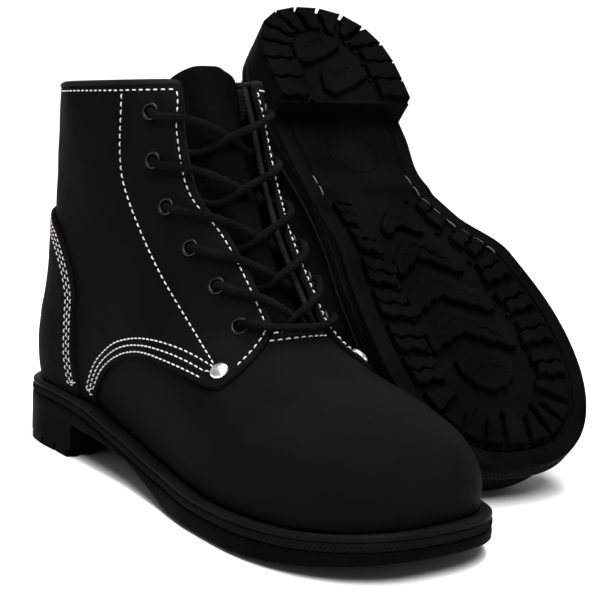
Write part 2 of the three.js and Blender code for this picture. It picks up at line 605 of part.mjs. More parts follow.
const PIECES = [
  ['outsole', makeOutsole, rubber],
  ['welt', makeWelt, weltRubber],
  ['cork_filler', makeFiller, cork],
  ['shank', makeShank, steel],
  ['puncture_plate', makePlate, steel],
  ['insole_board', makeBoard, board],
  ['footbed', makeFootbed, textile],
  ['toe_cap', makeToeCap, steel],
  ['vamp', makeVamp, leather],
  ['vamp_lining', makeVampLining, lining],
  ['outer_quarter', () => makeQuarter(sides.outer), leather],
  ['inner_quarter', () => makeQuarter(sides.inner), leather],
  ['quarter_lining', makeQuarterLining, lining],
  ['heel_stiffener', makeStiffener, board],
  ['heel_pocket', makePocket, leather],
  ['collar_binding', makeBinding, leatherDark],
  ['tongue', makeTongue, textile],
  ['outer_eyelet_row', () => makeEyeletRow(sides.outer), blackMetal],
  ['inner_eyelet_row', () => makeEyeletRow(sides.inner), blackMetal],
  ['outer_rivet', () => makeRivet(sides.outer), brightMetal],
  ['inner_rivet', () => makeRivet(sides.inner), brightMetal],
  ['lace', makeLace, laceCord],
  ['outer_lace_tip', () => makeAglet(sides.outer), laceTip],
  ['inner_lace_tip', () => makeAglet(sides.inner), laceTip],
];

// ---------------------------------------------------------------- the pair
const built = PIECES.map(([name, make, material]) => ({ name, material, solid: make() }));
const rightBoot = new THREE.Group();
const leftBoot = new THREE.Group();
for (const { name, material, solid } of built) {
  const right = new THREE.Mesh(toGeometry(solid), material);
  right.name = `right_${name}`;
  rightBoot.add(right);
  const left = new THREE.Mesh(toGeometry(solid.mirror([0, 1, 0])), material);
  left.name = `left_${name}`;
  leftBoot.add(left);
}

// The left boot is turned sole up and tipped until its toe and its collar touch the floor together.
const leftPoints = leftBoot.children.flatMap((mesh) => {
  const { array } = mesh.geometry.attributes.position;
  return Array.from({ length: array.length / 3 }, (_, i) => [array[3 * i], array[3 * i + 2]]);
});
const depthOf = (points, pitch) => Math.max(...points.map(([x, z]) => x * Math.sin(pitch) + z * Math.cos(pitch)));
const TOE_SHARE = 0.75; // the toe end starts at this share of the length
const frontHalf = leftPoints.filter(([x]) => x > SOLE_LENGTH * TOE_SHARE);
const shaftHalf = leftPoints.filter(([x]) => x < SOLE_LENGTH * TOE_SHARE);
let [flatter, steeper] = [0.3, 1.2];
for (let i = 0; i < 30; i++) {
  const pitch = (flatter + steeper) / 2;
  if (depthOf(frontHalf, pitch) < depthOf(shaftHalf, pitch)) flatter = pitch;
  else steeper = pitch;
}
const turn = THREE.MathUtils.degToRad(LEFT.yaw);
leftBoot.position.set(LEFT.x * S, LEFT.apart * W - SOLE_LENGTH * Math.sin(turn), depthOf(leftPoints, flatter));
leftBoot.rotation.set(Math.PI, flatter, turn, 'ZYX');

// The origin lies on the floor under the middle of the right heel.
const boots = new THREE.Group();
boots.add(rightBoot, leftBoot);
boots.position.x = (-HEEL_LENGTH * S) / 2;
export default boots;
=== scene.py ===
"""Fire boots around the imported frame: the right boot stands, the left boot lies on its toe and collar."""
import math

import bpy
import numpy as np
from mathutils import Matrix, Vector
from mathutils.geometry import delaunay_2d_cdt


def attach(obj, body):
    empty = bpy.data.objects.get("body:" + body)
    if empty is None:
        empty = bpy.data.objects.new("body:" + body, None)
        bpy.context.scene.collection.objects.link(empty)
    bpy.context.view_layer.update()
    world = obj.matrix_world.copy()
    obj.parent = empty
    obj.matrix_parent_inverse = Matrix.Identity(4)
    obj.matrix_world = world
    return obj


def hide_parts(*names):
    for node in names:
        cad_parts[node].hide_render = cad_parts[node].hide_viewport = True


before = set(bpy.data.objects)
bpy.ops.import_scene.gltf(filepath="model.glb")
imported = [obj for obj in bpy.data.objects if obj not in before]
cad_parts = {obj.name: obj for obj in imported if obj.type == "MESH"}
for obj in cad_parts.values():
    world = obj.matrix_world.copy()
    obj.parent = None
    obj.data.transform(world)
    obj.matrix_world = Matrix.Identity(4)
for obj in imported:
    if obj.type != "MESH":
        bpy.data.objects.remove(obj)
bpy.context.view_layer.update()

# ------------------------------------------------------------------ the two boots' places
# Shapes are made once, as a right boot in millimetres from the back of its heel, then placed.
MM = 0.001
HEEL_TO_ORIGIN = 36.0
LEFT_YAW = math.radians(-6.5)
LEFT_PITCH = math.asin(0.66433)
LEFT_HEEL = np.array([27.0, 125.49, 228.779])
SIDES = ("right", "left")


def turn_z(angle):
    return np.array(Matrix.Rotation(angle, 3, "Z"))


def turn_y(angle):
    return np.array(Matrix.Rotation(angle, 3, "Y"))


LEFT_TURN = turn_z(LEFT_YAW) @ turn_y(LEFT_PITCH) @ np.diag([1.0, -1.0, -1.0])


def placed(points, boot):
    """Points of a right boot in millimetres, as points of one of the pair in metres."""
    p = np.array(points, float)
    if boot == "left":
        p = (p * [1, -1, 1]) @ LEFT_TURN.T + LEFT_HEEL
    return (p - [HEEL_TO_ORIGIN, 0, 0]) * MM


# ------------------------------------------------------------------ curves through a few stations
def through(xs, ys):
    """Monotone cubic through the stations, straight beyond its ends."""
    xs, ys = np.array(xs, float), np.array(ys, float)
    slope = np.diff(ys) / np.diff(xs)
    m = np.concatenate([[slope[0]], np.zeros(len(xs) - 2), [slope[-1]]])
    a, b = slope[:-1], slope[1:]
    same = a * b > 0
    m[1:-1][same] = 2 * a[same] * b[same] / (a[same] + b[same])

    def f(x):
        x = np.asarray(x, float)
        i = np.clip(np.searchsorted(xs, x) - 1, 0, len(xs) - 2)
        h = xs[i + 1] - xs[i]
        t = (x - xs[i]) / h
        mid = (ys[i] * (2 * t**3 - 3 * t**2 + 1) + h * m[i] * (t**3 - 2 * t**2 + t)
               + ys[i + 1] * (3 * t**2 - 2 * t**3) + h * m[i + 1] * (t**3 - t**2))
        low = ys[0] + m[0] * (x - xs[0])
        high = ys[-1] + m[-1] * (x - xs[-1])
        return np.where(x <= xs[0], low, np.where(x >= xs[-1], high, mid))

    return f


def ease(t):
    t = np.clip(t, 0, 1)
    return t * t * (3 - 2 * t)


def round_ends(x, back, front, back_round, front_round, back_power, front_power):
    h = np.clip((back + back_round - x) / back_round, 0, 1)
    t = np.clip((x - (front - front_round)) / front_round, 0, 1)
    a = np.maximum(0, 1 - h**back_power) ** (1 / back_power)
    b = np.maximum(0, 1 - t**front_power) ** (1 / front_power)
    return a * b


# ------------------------------------------------------------------ the sole's shape
SOLE_LENGTH = 302.0
HEEL_LENGTH = 72.0
sole_top = through([0, 40, 80, 110, 160, 210, 260, 302], [30, 31.5, 30, 25, 18, 15.5, 17, 21])
waist_bottom = through([75, 110, 150, 180, 228, 250, 275, 302], [17, 15.3, 6.46, 0, 0, 1.26, 4.2, 8.4])
sole_medial = through([0, 45, 84, 115, 147, 181, 224, 302], [40.5, 40.5, 37.6, 32.2, 36, 51, 57.6, 57])
sole_lateral = through([0, 50, 92, 125, 162, 200, 235, 302], [40, 40.3, 41.5, 42.5, 46.5, 53, 55, 52])


def sole_edge(x, side, inset=0.0):
    half = (sole_medial(x) if side > 0 else sole_lateral(x)) - inset
    half = half * round_ends(x, inset, SOLE_LENGTH - inset, 45, 75, 2.3, 2.6)
    return 3.5 * np.clip((x - 150) / 152, 0, 1) + side * np.maximum(0, half)


# ------------------------------------------------------------------ the upper's shape
LEVELS = [0, 0.1, 0.2, 0.3, 0.4, 0.5, 0.6, 0.8, 1]
RING = {name: through(LEVELS, values) for name, values in {
    "back": [9, 7, 6.5, 7, 10, 12.5, 14, 15.6, 12.8],
    "back_height": [0, 11, 23, 36, 50, 66, 84, 121.5, 161],
    "front": [295, 297, 290, 269, 241, 216, 197, 159, 134],
    "front_height": [0, 13, 28, 39.5, 46.6, 56.7, 75, 120, 169],
    "heel_half": [32.5, 33.5, 34, 33.5, 33.5, 33.5, 34, 33.8, 31],
    "waist_medial": [28, 33, 35, 35, 34.5, 34, 34, 36.2, 37.7],
    "waist_lateral": [37, 39, 40, 39.5, 37.5, 36, 35.2, 37.1, 39.7],
    "ball_medial": [54, 54, 51.6, 46.5, 42, 37.5, 36.5, 38, 42],
    "ball_lateral": [49, 50.5, 50, 47, 43.5, 38.5, 36, 35, 37.5],
    "toe_round": [68, 72.5, 76, 82, 86, 85, 79, 60, 44],
    "heel_round": [40, 41, 42, 44, 46, 48, 50, 53, 54],
    "toe_power": [2.6, 2.5, 2.4, 2.3, 2.2, 2.1, 2, 2, 2],
    "shift": [3.5, 3.5, 3.2, 3, 2.5, 2, 1.5, 0.5, 0],
}.items()}
HEEL_POWER = 2.3
ANKLE_Z = 22.0
FOLLOWS_SOLE = 95.0
UPPER_LIFT = 0.6


def ring_height(v, u):
    return RING["back_height"](v) + (RING["front_height"](v) - RING["back_height"](v)) * u


def surface_z(v, u, x):
    height = ring_height(v, u)
    follow = ease(1 - height / FOLLOWS_SOLE)
    return height + ANKLE_Z + (sole_top(x) + UPPER_LIFT - ANKLE_Z) * follow


def smooth_step(a, b, slope_a, slope_b, span, t):
    """Cubic from a to b over a span, with these slopes at its ends."""
    return (a * (2 * t**3 - 3 * t**2 + 1) + b * (3 * t**2 - 2 * t**3)
            + span * slope_a * (t**3 - 2 * t**2 + t) + span * slope_b * (t**3 - t**2))


def half_width(u, heel, waist, ball):
    """Half width at a share u of the length, through the heel, the waist and the ball."""
    s1, s2 = (waist - heel) / 0.3, (ball - waist) / 0.3
    both = np.where(s1 + s2 == 0, 1, s1 + s2)
    m = np.where(s1 * s2 > 0, 2 * s1 * s2 / both, 0)
    rear = smooth_step(heel, waist, 0, m, 0.3, np.clip((u - 0.15) / 0.3, 0, 1))
    fore = smooth_step(waist, ball, m, 0, 0.3, np.clip((u - 0.45) / 0.3, 0, 1))
    return np.where(u < 0.45, rear, fore)


def surface(v, around):
    """Point of the lasted surface. around: 0 heel, 0.25 inner side, 0.5 toe, 0.75 outer side."""
    v, around = np.broadcast_arrays(np.asarray(v, float), np.asarray(around, float) % 1.0)
    inner = around <= 0.5
    u = (1 - np.cos(2 * np.pi * around)) / 2
    back, front = RING["back"](v), RING["front"](v)
    x = back + (front - back) * u
    rounded = round_ends(x, back, front, RING["heel_round"](v), RING["toe_round"](v),
                         HEEL_POWER, RING["toe_power"](v))
    waist = np.where(inner, RING["waist_medial"](v), RING["waist_lateral"](v))
    ball = np.where(inner, RING["ball_medial"](v), RING["ball_lateral"](v))
    half = half_width(u, RING["heel_half"](v), waist, ball)
    y = RING["shift"](v) * np.clip(2 * u - 1, 0, 1) + np.where(inner, 1, -1) * half * rounded
    return np.stack([x, y, surface_z(v, u, x)], -1)


def unit(a):
    return a / np.maximum(1e-9, np.linalg.norm(a, axis=-1, keepdims=True))


def normal(v, around):
    step = 0.004
    along = surface(v, around + step) - surface(v, around - step)
    up = surface(np.minimum(v + step, 1.1), around) - surface(np.maximum(v - step, -0.1), around)
    return unit(np.cross(up, along))


def skin(v, around, offset):
    """Point at an offset from the surface, level at the sole."""
    v, around = np.broadcast_arrays(np.asarray(v, float), np.asarray(around, float))
    n = normal(v, around).copy()
    n[..., 2] *= np.clip(v / 0.06, 0, 1)
    return surface(v, around) + unit(n) * np.asarray(offset, float)[..., None]


def on_side(x, z, side):
    """(around, level) of the surface points seen in side view at x, z."""
    x, z = np.broadcast_arrays(np.asarray(x, float), np.asarray(z, float))
    low, high = np.zeros(x.shape), np.full(x.shape, 1.08)

    def share(v):
        return np.clip((x - RING["back"](v)) / (RING["front"](v) - RING["back"](v)), 0, 1)

    for _ in range(32):
        v = (low + high) / 2
        under = surface_z(v, share(v), x) < z
        low, high = np.where(under, v, low), np.where(under, high, v)
    around = np.arccos(1 - 2 * share(low)) / (2 * np.pi)
    return np.stack([around if side > 0 else 1 - around, low], -1)


def at_height(around, z):
    """Level of the surface at these places round it where it is z high."""
    around, z = np.broadcast_arrays(np.asarray(around, float), np.asarray(z, float))
    low, high = np.zeros(around.shape), np.full(around.shape, 1.08)
    for _ in range(32):
        v = (low + high) / 2
        under = surface(v, around)[..., 2] < z
        low, high = np.where(under, v, low), np.where(under, high, v)
    return low


# ------------------------------------------------------------------ lines
def spline(points, steps=10, closed=False):
    """Centripetal Catmull-Rom through points."""
    p = np.array(points, float)
    n = len(p)
    if closed:
        q = np.vstack([p[-1], p, p[0], p[1]])
        spans = n
    else:
        q = np.vstack([2 * p[0] - p[1], p, 2 * p[-1] - p[-2]])
        spans = n - 1
    out = []
    for i in range(spans):
        a, b, c, d = q[i:i + 4]
        ta = 0.0
        tb = ta + max(1e-6, np.linalg.norm(b - a)) ** 0.5
        tc = tb + max(1e-6, np.linalg.norm(c - b)) ** 0.5
        td = tc + max(1e-6, np.linalg.norm(d - c)) ** 0.5
        t = np.linspace(tb, tc, steps, endpoint=False)[:, None]
        a1 = (tb - t) / (tb - ta) * a + (t - ta) / (tb - ta) * b
        a2 = (tc - t) / (tc - tb) * b + (t - tb) / (tc - tb) * c
        a3 = (td - t) / (td - tc) * c + (t - tc) / (td - tc) * d
        b1 = (tc - t) / (tc - ta) * a1 + (t - ta) / (tc - ta) * a2
        b2 = (td - t) / (td - tb) * a2 + (t - tb) / (td - tb) * a3
        out.append((tc - t) / (tc - tb) * b1 + (t - tb) / (tc - tb) * b2)
    out = np.vstack(out)
    return out if closed else np.vstack([out, p[-1]])


def lengths(p):
    return np.concatenate([[0], np.cumsum(np.linalg.norm(np.diff(p, axis=0), axis=1))])


def resample(p, spacing, closed=False):
    p = np.array(p, float)
    if closed:
        p = np.vstack([p, p[:1]])
    s = lengths(p)
    n = max(2, int(round(s[-1] / spacing)))
    t = np.linspace(0, s[-1], n + 1)
    q = np.stack([np.interp(t, s, p[:, k]) for k in range(p.shape[1])], -1)
    return q[:-1] if closed else q


def side_line(outline, side):
    xz = spline(outline)
    return on_side(xz[:, 0], xz[:, 1], side)


def parallel(line, distance, side):
    """A line on the upper beside another line, at a distance to one side of it or the other."""
    p, n = surface(line[:, 1], line[:, 0]), normal(line[:, 1], line[:, 0])
    t = unit(np.gradient(p, axis=0))
    b = unit(np.cross(n, t)) * distance
    q = p + b
    return on_side(q[:, 0], q[:, 2], side)


def inside(points, loop):
    x, y = points[:, 0], points[:, 1]
    a, b = loop, np.roll(loop, -1, 0)
    hit = np.zeros(len(points), bool)
    for (ax, ay), (bx, by) in zip(a, b):
        if ay != by:
            crosses = (ay > y) != (by > y)
            hit ^= crosses & (x < (bx - ax) * (y - ay) / (by - ay) + ax)
    return hit


def distance_to(points, line, closed):
    """Distance in the plane from points to a line."""
    a = line if closed else line[:-1]
    b = np.roll(line, -1, 0) if closed else line[1:]
    best = np.full(len(points), 1e9)
    for p, q in zip(a, b):
        d = q - p
        t = np.clip(((points - p) @ d) / max(1e-12, d @ d), 0, 1)
        best = np.minimum(best, np.linalg.norm(points - p - t[:, None] * d, axis=1))
    return best


def wrapped(line):
    """A line on the upper with its places from -0.5 to 0.5 round it, so that it may cross the heel."""
    return np.column_stack([np.where(line[:, 0] > 0.5, line[:, 0] - 1, line[:, 0]), line[:, 1]])


def level_line(start, end, count, level=0.0):
    """Points round the upper at one level."""
    return np.stack([np.linspace(start, end, count), np.full(count, float(level))], -1)


def circle(count):
    """Angles of points round a circle."""
    return np.linspace(0, 2 * np.pi, count, endpoint=False)


def outward(loop, reach=1):
    """Unit normals of a counter-clockwise loop in the plane, pointing out."""
    t = unit(np.roll(loop, -reach, 0) - np.roll(loop, reach, 0))
    return np.stack([t[:, 1], -t[:, 0]], -1)


def loop_edges(count, first=0):
    return [(first + i, first + (i + 1) % count) for i in range(count)]


def triangulated(points, edges, keep, facing=-1):
    """Triangles between edges in a plane, where keep(their centres) says, all turned one way."""
    flat, _, tri, *_ = delaunay_2d_cdt([Vector(p) for p in points.tolist()], edges, [], 0, 1e-4)
    flat = np.array([tuple(p) for p in flat])
    tri = np.array([t for t in tri if len(t) == 3])
    tri = tri[keep(flat[tri].mean(1))]
    a, b, c = flat[tri[:, 0]], flat[tri[:, 1]], flat[tri[:, 2]]
    ccw = (b[:, 0] - a[:, 0]) * (c[:, 1] - a[:, 1]) - (b[:, 1] - a[:, 1]) * (c[:, 0] - a[:, 0])
    flip = ccw * facing < 0
    tri[flip] = tri[flip][:, ::-1]
    return flat, tri


# ------------------------------------------------------------------ meshes
def add_mesh(name, boot, vertices, faces, material, smooth=True):
    mesh = bpy.data.meshes.new(name)
    if boot == "left":
        faces = turned(faces)
    mesh.from_pydata(placed(vertices, boot).tolist(), [], [tuple(int(i) for i in f) for f in faces])
    mesh.validate()
    mesh.materials.append(material)
    mesh.polygons.foreach_set("use_smooth", [smooth] * len(mesh.polygons))
    obj = bpy.data.objects.new(name, mesh)
    bpy.context.scene.collection.objects.link(obj)
    return obj


def sharpen(obj, degrees):
    """Keeps edges sharper than an angle crisp in shading."""
    mesh = obj.data
    mesh.set_sharp_from_angle(angle=math.radians(degrees))
    return obj


def joined(parts):
    """Several (vertices, faces) as one."""
    vertices, faces, n = [], [], 0
    for v, f in parts:
        vertices.append(np.asarray(v, float))
        faces += [tuple(i + n for i in face) for face in f]
        n += len(v)
    return np.vstack(vertices), faces


def grid_faces(rows, columns, closed=False, first=0):
    spans = columns if closed else columns - 1
    return [(first + i * columns + j, first + i * columns + (j + 1) % columns,
             first + (i + 1) * columns + (j + 1) % columns, first + (i + 1) * columns + j)
            for i in range(rows - 1) for j in range(spans)]


def turned(faces):
    return [tuple(reversed(f)) for f in faces]


def slab(outer, inner, inverted=False):
    """Two grids of points joined along their rims."""
    rows, columns = outer.shape[:2]
    n = rows * columns
    faces = grid_faces(rows, columns) + turned(grid_faces(rows, columns, first=n))
    last = (rows - 1) * columns
    rim = ([(i * columns, (i + 1) * columns) for i in range(rows - 1)]
           + [(last + j, last + j + 1) for j in range(columns - 1)]
           + [((i + 1) * columns - 1, i * columns - 1) for i in range(rows - 1, 0, -1)]
           + [(j, j - 1) for j in range(columns - 1, 0, -1)])
    if inverted:
        faces = turned(faces) + [(b + n, a + n, a, b) for a, b in rim]
    else:
        faces += [(a + n, b + n, b, a) for a, b in rim]
    return np.vstack([outer.reshape(-1, 3), inner.reshape(-1, 3)]), faces


def tube(path, radius, around=10, shape=None, caps=True):
    """Tube along a path; shape(angle, distance) changes its radius."""
    p = np.array(path, float)
    t = unit(np.gradient(p, axis=0))
    n = np.zeros_like(p)
    start = np.cross(t[0], [0.3, 0.5, 0.8])
    n[0] = start / np.linalg.norm(start)
    for i in range(1, len(p)):
        m = n[i - 1] - t[i] * (n[i - 1] @ t[i])
        n[i] = m / np.linalg.norm(m)
    b = np.cross(t, n)
    angle = circle(around)
    r = np.full((len(p), around), float(radius))
    if shape is not None:
        r = r * shape(angle[None, :], lengths(p)[:, None])
    ring = (n[:, None, :] * np.cos(angle)[None, :, None] + b[:, None, :] * np.sin(angle)[None, :, None])
    vertices = (p[:, None, :] + ring * r[..., None]).reshape(-1, 3)
    faces = grid_faces(len(p), around, True)
    if caps:
        k = (len(p) - 1) * around
        faces += [tuple(reversed(range(around))), tuple(range(k, k + around))]
    return vertices, faces


def revolve(profile, segments=28):
    """Solid of revolution about z from (radius, height) pairs, bottom to top or closed on itself."""
    profile = np.array(profile, float)
    angle = circle(segments)
    v = np.stack([profile[:, None, 0] * np.cos(angle), profile[:, None, 0] * np.sin(angle),
                  np.repeat(profile[:, None, 1], segments, 1)], -1).reshape(-1, 3)
    return v, grid_faces(len(profile), segments, True)


def seated(part, origin, axis):
    """Turns a piece made about z onto an axis, at a point."""
    turn = np.array(Vector((0, 0, 1)).rotation_difference(Vector(axis)).to_matrix())
    return part[0] @ turn.T + origin, part[1]


def panel(outline, outer, inner, around_mm=420.0, level_mm=190.0, spacing=2.4, holes=(), lines=(),
          rim=0.8, sink=0.3, shape=None):
    """A leather panel: outline of (around, level) points, its two faces at offsets from the surface.
    Its rim is rounded, and lines are where stitches pull it in."""
    scale = np.array([around_mm, level_mm])
    loops = [resample(outline * scale, spacing * 0.8, True)]
    loops += [resample(h * scale, 0.8, True) for h in holes]
    lines = [resample(line * scale, 1.7) for line in lines]
    low, high = loops[0].min(0), loops[0].max(0)
    xs, ys = np.arange(low[0], high[0], spacing), np.arange(low[1], high[1], spacing * 0.87)
    gx, gy = np.meshgrid(xs, ys)
    gx = gx + (np.arange(len(ys)) % 2)[:, None] * spacing / 2
    free = np.stack([gx.ravel(), gy.ravel()], -1)
    free = free[inside(free, loops[0])]
    keep = np.ones(len(free), bool)
    for loop in loops:
        keep &= distance_to(free, loop, True) > 1.7
    for line in lines:
        keep &= distance_to(free, line, False) > 1.5
    extra = [free[keep]]
    for k, loop in enumerate(loops):
        n = -outward(loop)
        if inside(loop[:1] + n[:1] * 0.3, loop)[0] != (k == 0):
            n = -n
        for d in ((0.25, 0.9) if rim else ()):
            q = loop + n * d
            extra.append(q[distance_to(q, loop, True) > d * 0.8])
    for line in lines:
        t = unit(np.gradient(line, axis=0))
        n = np.stack([-t[:, 1], t[:, 0]], -1)
        extra += [line, line + n * 1.1, line - n * 1.1]
    extra = np.vstack(extra)

    def leather(at):
        ok = inside(at, loops[0])
        for hole in loops[1:]:
            ok &= ~inside(at, hole)
        return ok

    points = np.vstack(loops + [extra[leather(extra)]])
    edges = []
    for loop in loops:
        edges += loop_edges(len(loop), len(edges))
    v2, tri = triangulated(points, edges, leather)
    used = np.unique(tri)
    renumber = np.full(len(v2), -1)
    renumber[used] = np.arange(len(used))
    v2, tri = v2[used], renumber[tri]
    drop = np.zeros(len(v2))
    if rim:
        d = np.full(len(v2), 1e9)
        for loop in loops:
            d = np.minimum(d, distance_to(v2, loop, True))
        d = np.clip(d, 0, rim)
        drop = rim - np.sqrt(np.maximum(0, rim**2 - (rim - d) ** 2))
    for line in lines:
        drop = drop + sink * np.exp(-((distance_to(v2, line, False) / 1.0) ** 2))
    around, v = v2[:, 0] / around_mm, v2[:, 1] / level_mm
    top = outer - drop
    if shape is not None:
        top = top + shape(around, v)
    vertices = np.vstack([skin(v, around, top), skin(v, around, np.full(len(v), float(inner)))])
    n = len(v2)
    faces = [tuple(t) for t in tri] + [tuple(t[::-1] + n) for t in tri]
    count = {}
    for t in tri:
        for i in range(3):
            e = (t[i], t[(i + 1) % 3])
            count[e] = count.get(e, 0) + 1
    faces += [(e[1], e[0], e[0] + n, e[1] + n) for e in count if (e[1], e[0]) not in count]
    return vertices, faces


# ------------------------------------------------------------------ materials
def material(name, color, roughness, specular=0.5, metallic=0.0):
    m = bpy.data.materials.new(name)
    m.use_nodes = True
    bsdf = m.node_tree.nodes["Principled BSDF"]
    bsdf.inputs["Base Color"].default_value = (*color, 1)
    bsdf.inputs["Roughness"].default_value = roughness
    bsdf.inputs["Specular IOR Level"].default_value = specular
    bsdf.inputs["Metallic"].default_value = metallic
    return m


def node(m, kind, inputs=(), **props):
    n = m.node_tree.nodes.new(kind)
    for key, value in props.items():
        setattr(n, key, value)
    for key, value in dict(inputs).items():
        if hasattr(value, "is_output"):
            m.node_tree.links.new(value, n.inputs[key])
        else:
            n.inputs[key].default_value = value
    return n


def object_place(m):
    return node(m, "ShaderNodeTexCoord").outputs["Object"]


def noise(m, place, scale, detail=3.0, rough=0.5):
    return node(m, "ShaderNodeTexNoise", {"Vector": place, "Scale": scale, "Detail": detail,
                                          "Roughness": rough}).outputs["Fac"]


def cells(m, place, scale):
    return node(m, "ShaderNodeTexVoronoi", {"Vector": place, "Scale": scale}).outputs["Distance"]


def spread(m, value, low, high, from_low=0.0, from_high=1.0):
    return node(m, "ShaderNodeMapRange", {"Value": value, "From Min": from_low, "From Max": from_high,
                                          "To Min": low, "To Max": high}).outputs["Result"]


def maths(m, operation, a, b):
    return node(m, "ShaderNodeMath", {0: a, 1: b}, operation=operation).outputs[0]


def bump(m, layers):
    """Bump from (height, strength, distance in metres) layers, one on another."""
    last = None
    for height, strength, distance in layers:
        n = node(m, "ShaderNodeBump", {"Height": height, "Strength": strength, "Distance": distance})
        if last is not None:
            m.node_tree.links.new(last, n.inputs["Normal"])
        last = n.outputs["Normal"]
    m.node_tree.links.new(last, m.node_tree.nodes["Principled BSDF"].inputs["Normal"])


def tint(m, value, dark, light):
    ramp = node(m, "ShaderNodeValToRGB", {"Fac": value})
    ramp.color_ramp.elements[0].position = 0.3
    ramp.color_ramp.elements[1].position = 0.7
    ramp.color_ramp.elements[0].color = (*dark, 1)
    ramp.color_ramp.elements[1].color = (*light, 1)
    m.node_tree.links.new(ramp.outputs["Color"], m.node_tree.nodes["Principled BSDF"].inputs["Base Color"])


def rough_from(m, value):
    m.node_tree.links.new(value, m.node_tree.nodes["Principled BSDF"].inputs["Roughness"])


def leather_material(name, dark, light, rough, grain, specular):
    m = material(name, light, rough[0], specular)
    place = object_place(m)
    broad = noise(m, place, 22, 4)
    tint(m, broad, dark, light)
    pores = cells(m, place, 1150)
    fine = noise(m, place, 2600, 2)
    creases = noise(m, place, 130, 5, 0.62)
    worn = spread(m, broad, rough[0], rough[1], 0.3, 0.7)
    rough_from(m, maths(m, "ADD", worn, spread(m, pores, -0.04, 0.05)))
    bump(m, [(creases, 0.28 * grain, 0.0006), (pores, 0.5 * grain, 0.00025), (fine, 0.3 * grain, 0.00012)])
    return m


def rubber_material(name, dark, light, rough, grain, specular=0.003):
    m = material(name, light, rough, specular)
    place = object_place(m)
    broad = noise(m, place, 35, 5)
    tint(m, broad, dark, light)
    pits = noise(m, place, 900, 3)
    speck = cells(m, place, 1600)
    rough_from(m, spread(m, broad, rough - 0.08, rough + 0.08, 0.3, 0.7))
    bump(m, [(pits, 0.35 * grain, 0.0004), (speck, 0.3 * grain, 0.0002)])
    return m


def cloth_material(name, dark, light, thread_mm, rough=0.95):
    m = material(name, light, rough, 0.01)
    place = object_place(m)
    tint(m, noise(m, place, 60, 4), dark, light)
    k = 1 / (thread_mm * MM)
    warp = node(m, "ShaderNodeTexWave", {"Vector": place, "Scale": k / 6.28, "Distortion": 0.6},
                bands_direction="X").outputs["Fac"]
    weft = node(m, "ShaderNodeTexWave", {"Vector": place, "Scale": k / 6.28, "Distortion": 0.6},
                bands_direction="Z").outputs["Fac"]
    weave = maths(m, "MAXIMUM", warp, weft)
    rough_from(m, spread(m, weave, rough, rough - 0.1))
    bump(m, [(weave, 0.5, 0.0004), (noise(m, place, 1500, 2), 0.3, 0.0002)])
    return m


def metal_material(name, dark, light, rough, metallic=1.0):
    m = material(name, light, rough, 0.5, metallic)
    place = object_place(m)
    scratches = noise(m, place, 700, 6, 0.7)
    tint(m, scratches, dark, light)
    rough_from(m, spread(m, scratches, rough * 0.75, rough * 1.35, 0.3, 0.7))
    bump(m, [(scratches, 0.12, 0.0001)])
    return m


LEATHER = leather_material("leather", (0.0029, 0.0029, 0.0031), (0.0046, 0.0045, 0.0048),
                           (0.52, 0.62), 1.0, 0.0035)
EDGE = leather_material("binding_leather", (0.0065, 0.0065, 0.0068), (0.0100, 0.0098, 0.0102),
                        (0.55, 0.65), 0.6, 0.008)
TONGUE = leather_material("tongue_leather", (0.0014, 0.0014, 0.0015), (0.0024, 0.0023, 0.0025),
                          (0.66, 0.78), 0.8, 0.003)
RUBBER = rubber_material("sole_rubber", (0.0011, 0.0011, 0.0012), (0.0023, 0.0022, 0.0024), 0.48, 1.0)
WELT = rubber_material("welt_rubber", (0.0028, 0.0028, 0.0030), (0.0050, 0.0049, 0.0051), 0.44, 0.7, 0.008)
LINING = cloth_material("lining_knit", (0.006, 0.006, 0.0065), (0.012, 0.012, 0.013), 0.9)
FELT = cloth_material("footbed_felt", (0.006, 0.006, 0.007), (0.013, 0.013, 0.015), 1.4)
BLACK_METAL = metal_material("blackened_metal", (0.013, 0.013, 0.014), (0.032, 0.032, 0.034), 0.36)
BRIGHT_METAL = metal_material("polished_nickel", (0.93, 0.93, 0.94), (1.0, 1.0, 1.0), 0.3)
STEEL = metal_material("satin_steel", (0.42, 0.43, 0.45), (0.6, 0.61, 0.63), 0.35)
BOARD = rubber_material("fibre_board", (0.3, 0.22, 0.14), (0.45, 0.35, 0.23), 0.85, 1.0)
CORK = rubber_material("cork", (0.2, 0.11, 0.06), (0.42, 0.28, 0.17), 0.9, 1.6)
THREAD = cloth_material("thread", (0.42, 0.41, 0.38), (0.66, 0.65, 0.61), 0.35, 0.8)
SOLE_THREAD = cloth_material("sole_thread", (0.035, 0.035, 0.033), (0.11, 0.105, 0.1), 0.35, 0.8)
LACE_CLOTH = cloth_material("lace_braid", (0.0018, 0.0018, 0.0019), (0.0042, 0.0042, 0.0045), 0.7)
TIP = metal_material("lace_tip", (0.01, 0.01, 0.011), (0.02, 0.02, 0.021), 0.3, 0.0)


# ------------------------------------------------------------------ pieces on both boots
def body_name(boot, part="boot"):
    return f"{boot}_{part}"


def make_both(name, part, paint, nodes=None, body="boot", sharp=None):
    """One shape as a piece of each boot, riding on its body and standing for its CAD nodes."""
    nodes = [name] if nodes is None else nodes
    for boot in SIDES:
        obj = add_mesh(f"{boot}_{name}_piece", boot, part[0], part[1], paint)
        if sharp:
            sharpen(obj, sharp)
        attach(obj, body_name(boot, body))
        if nodes:
            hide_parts(*[f"{boot}_{n}" for n in nodes])


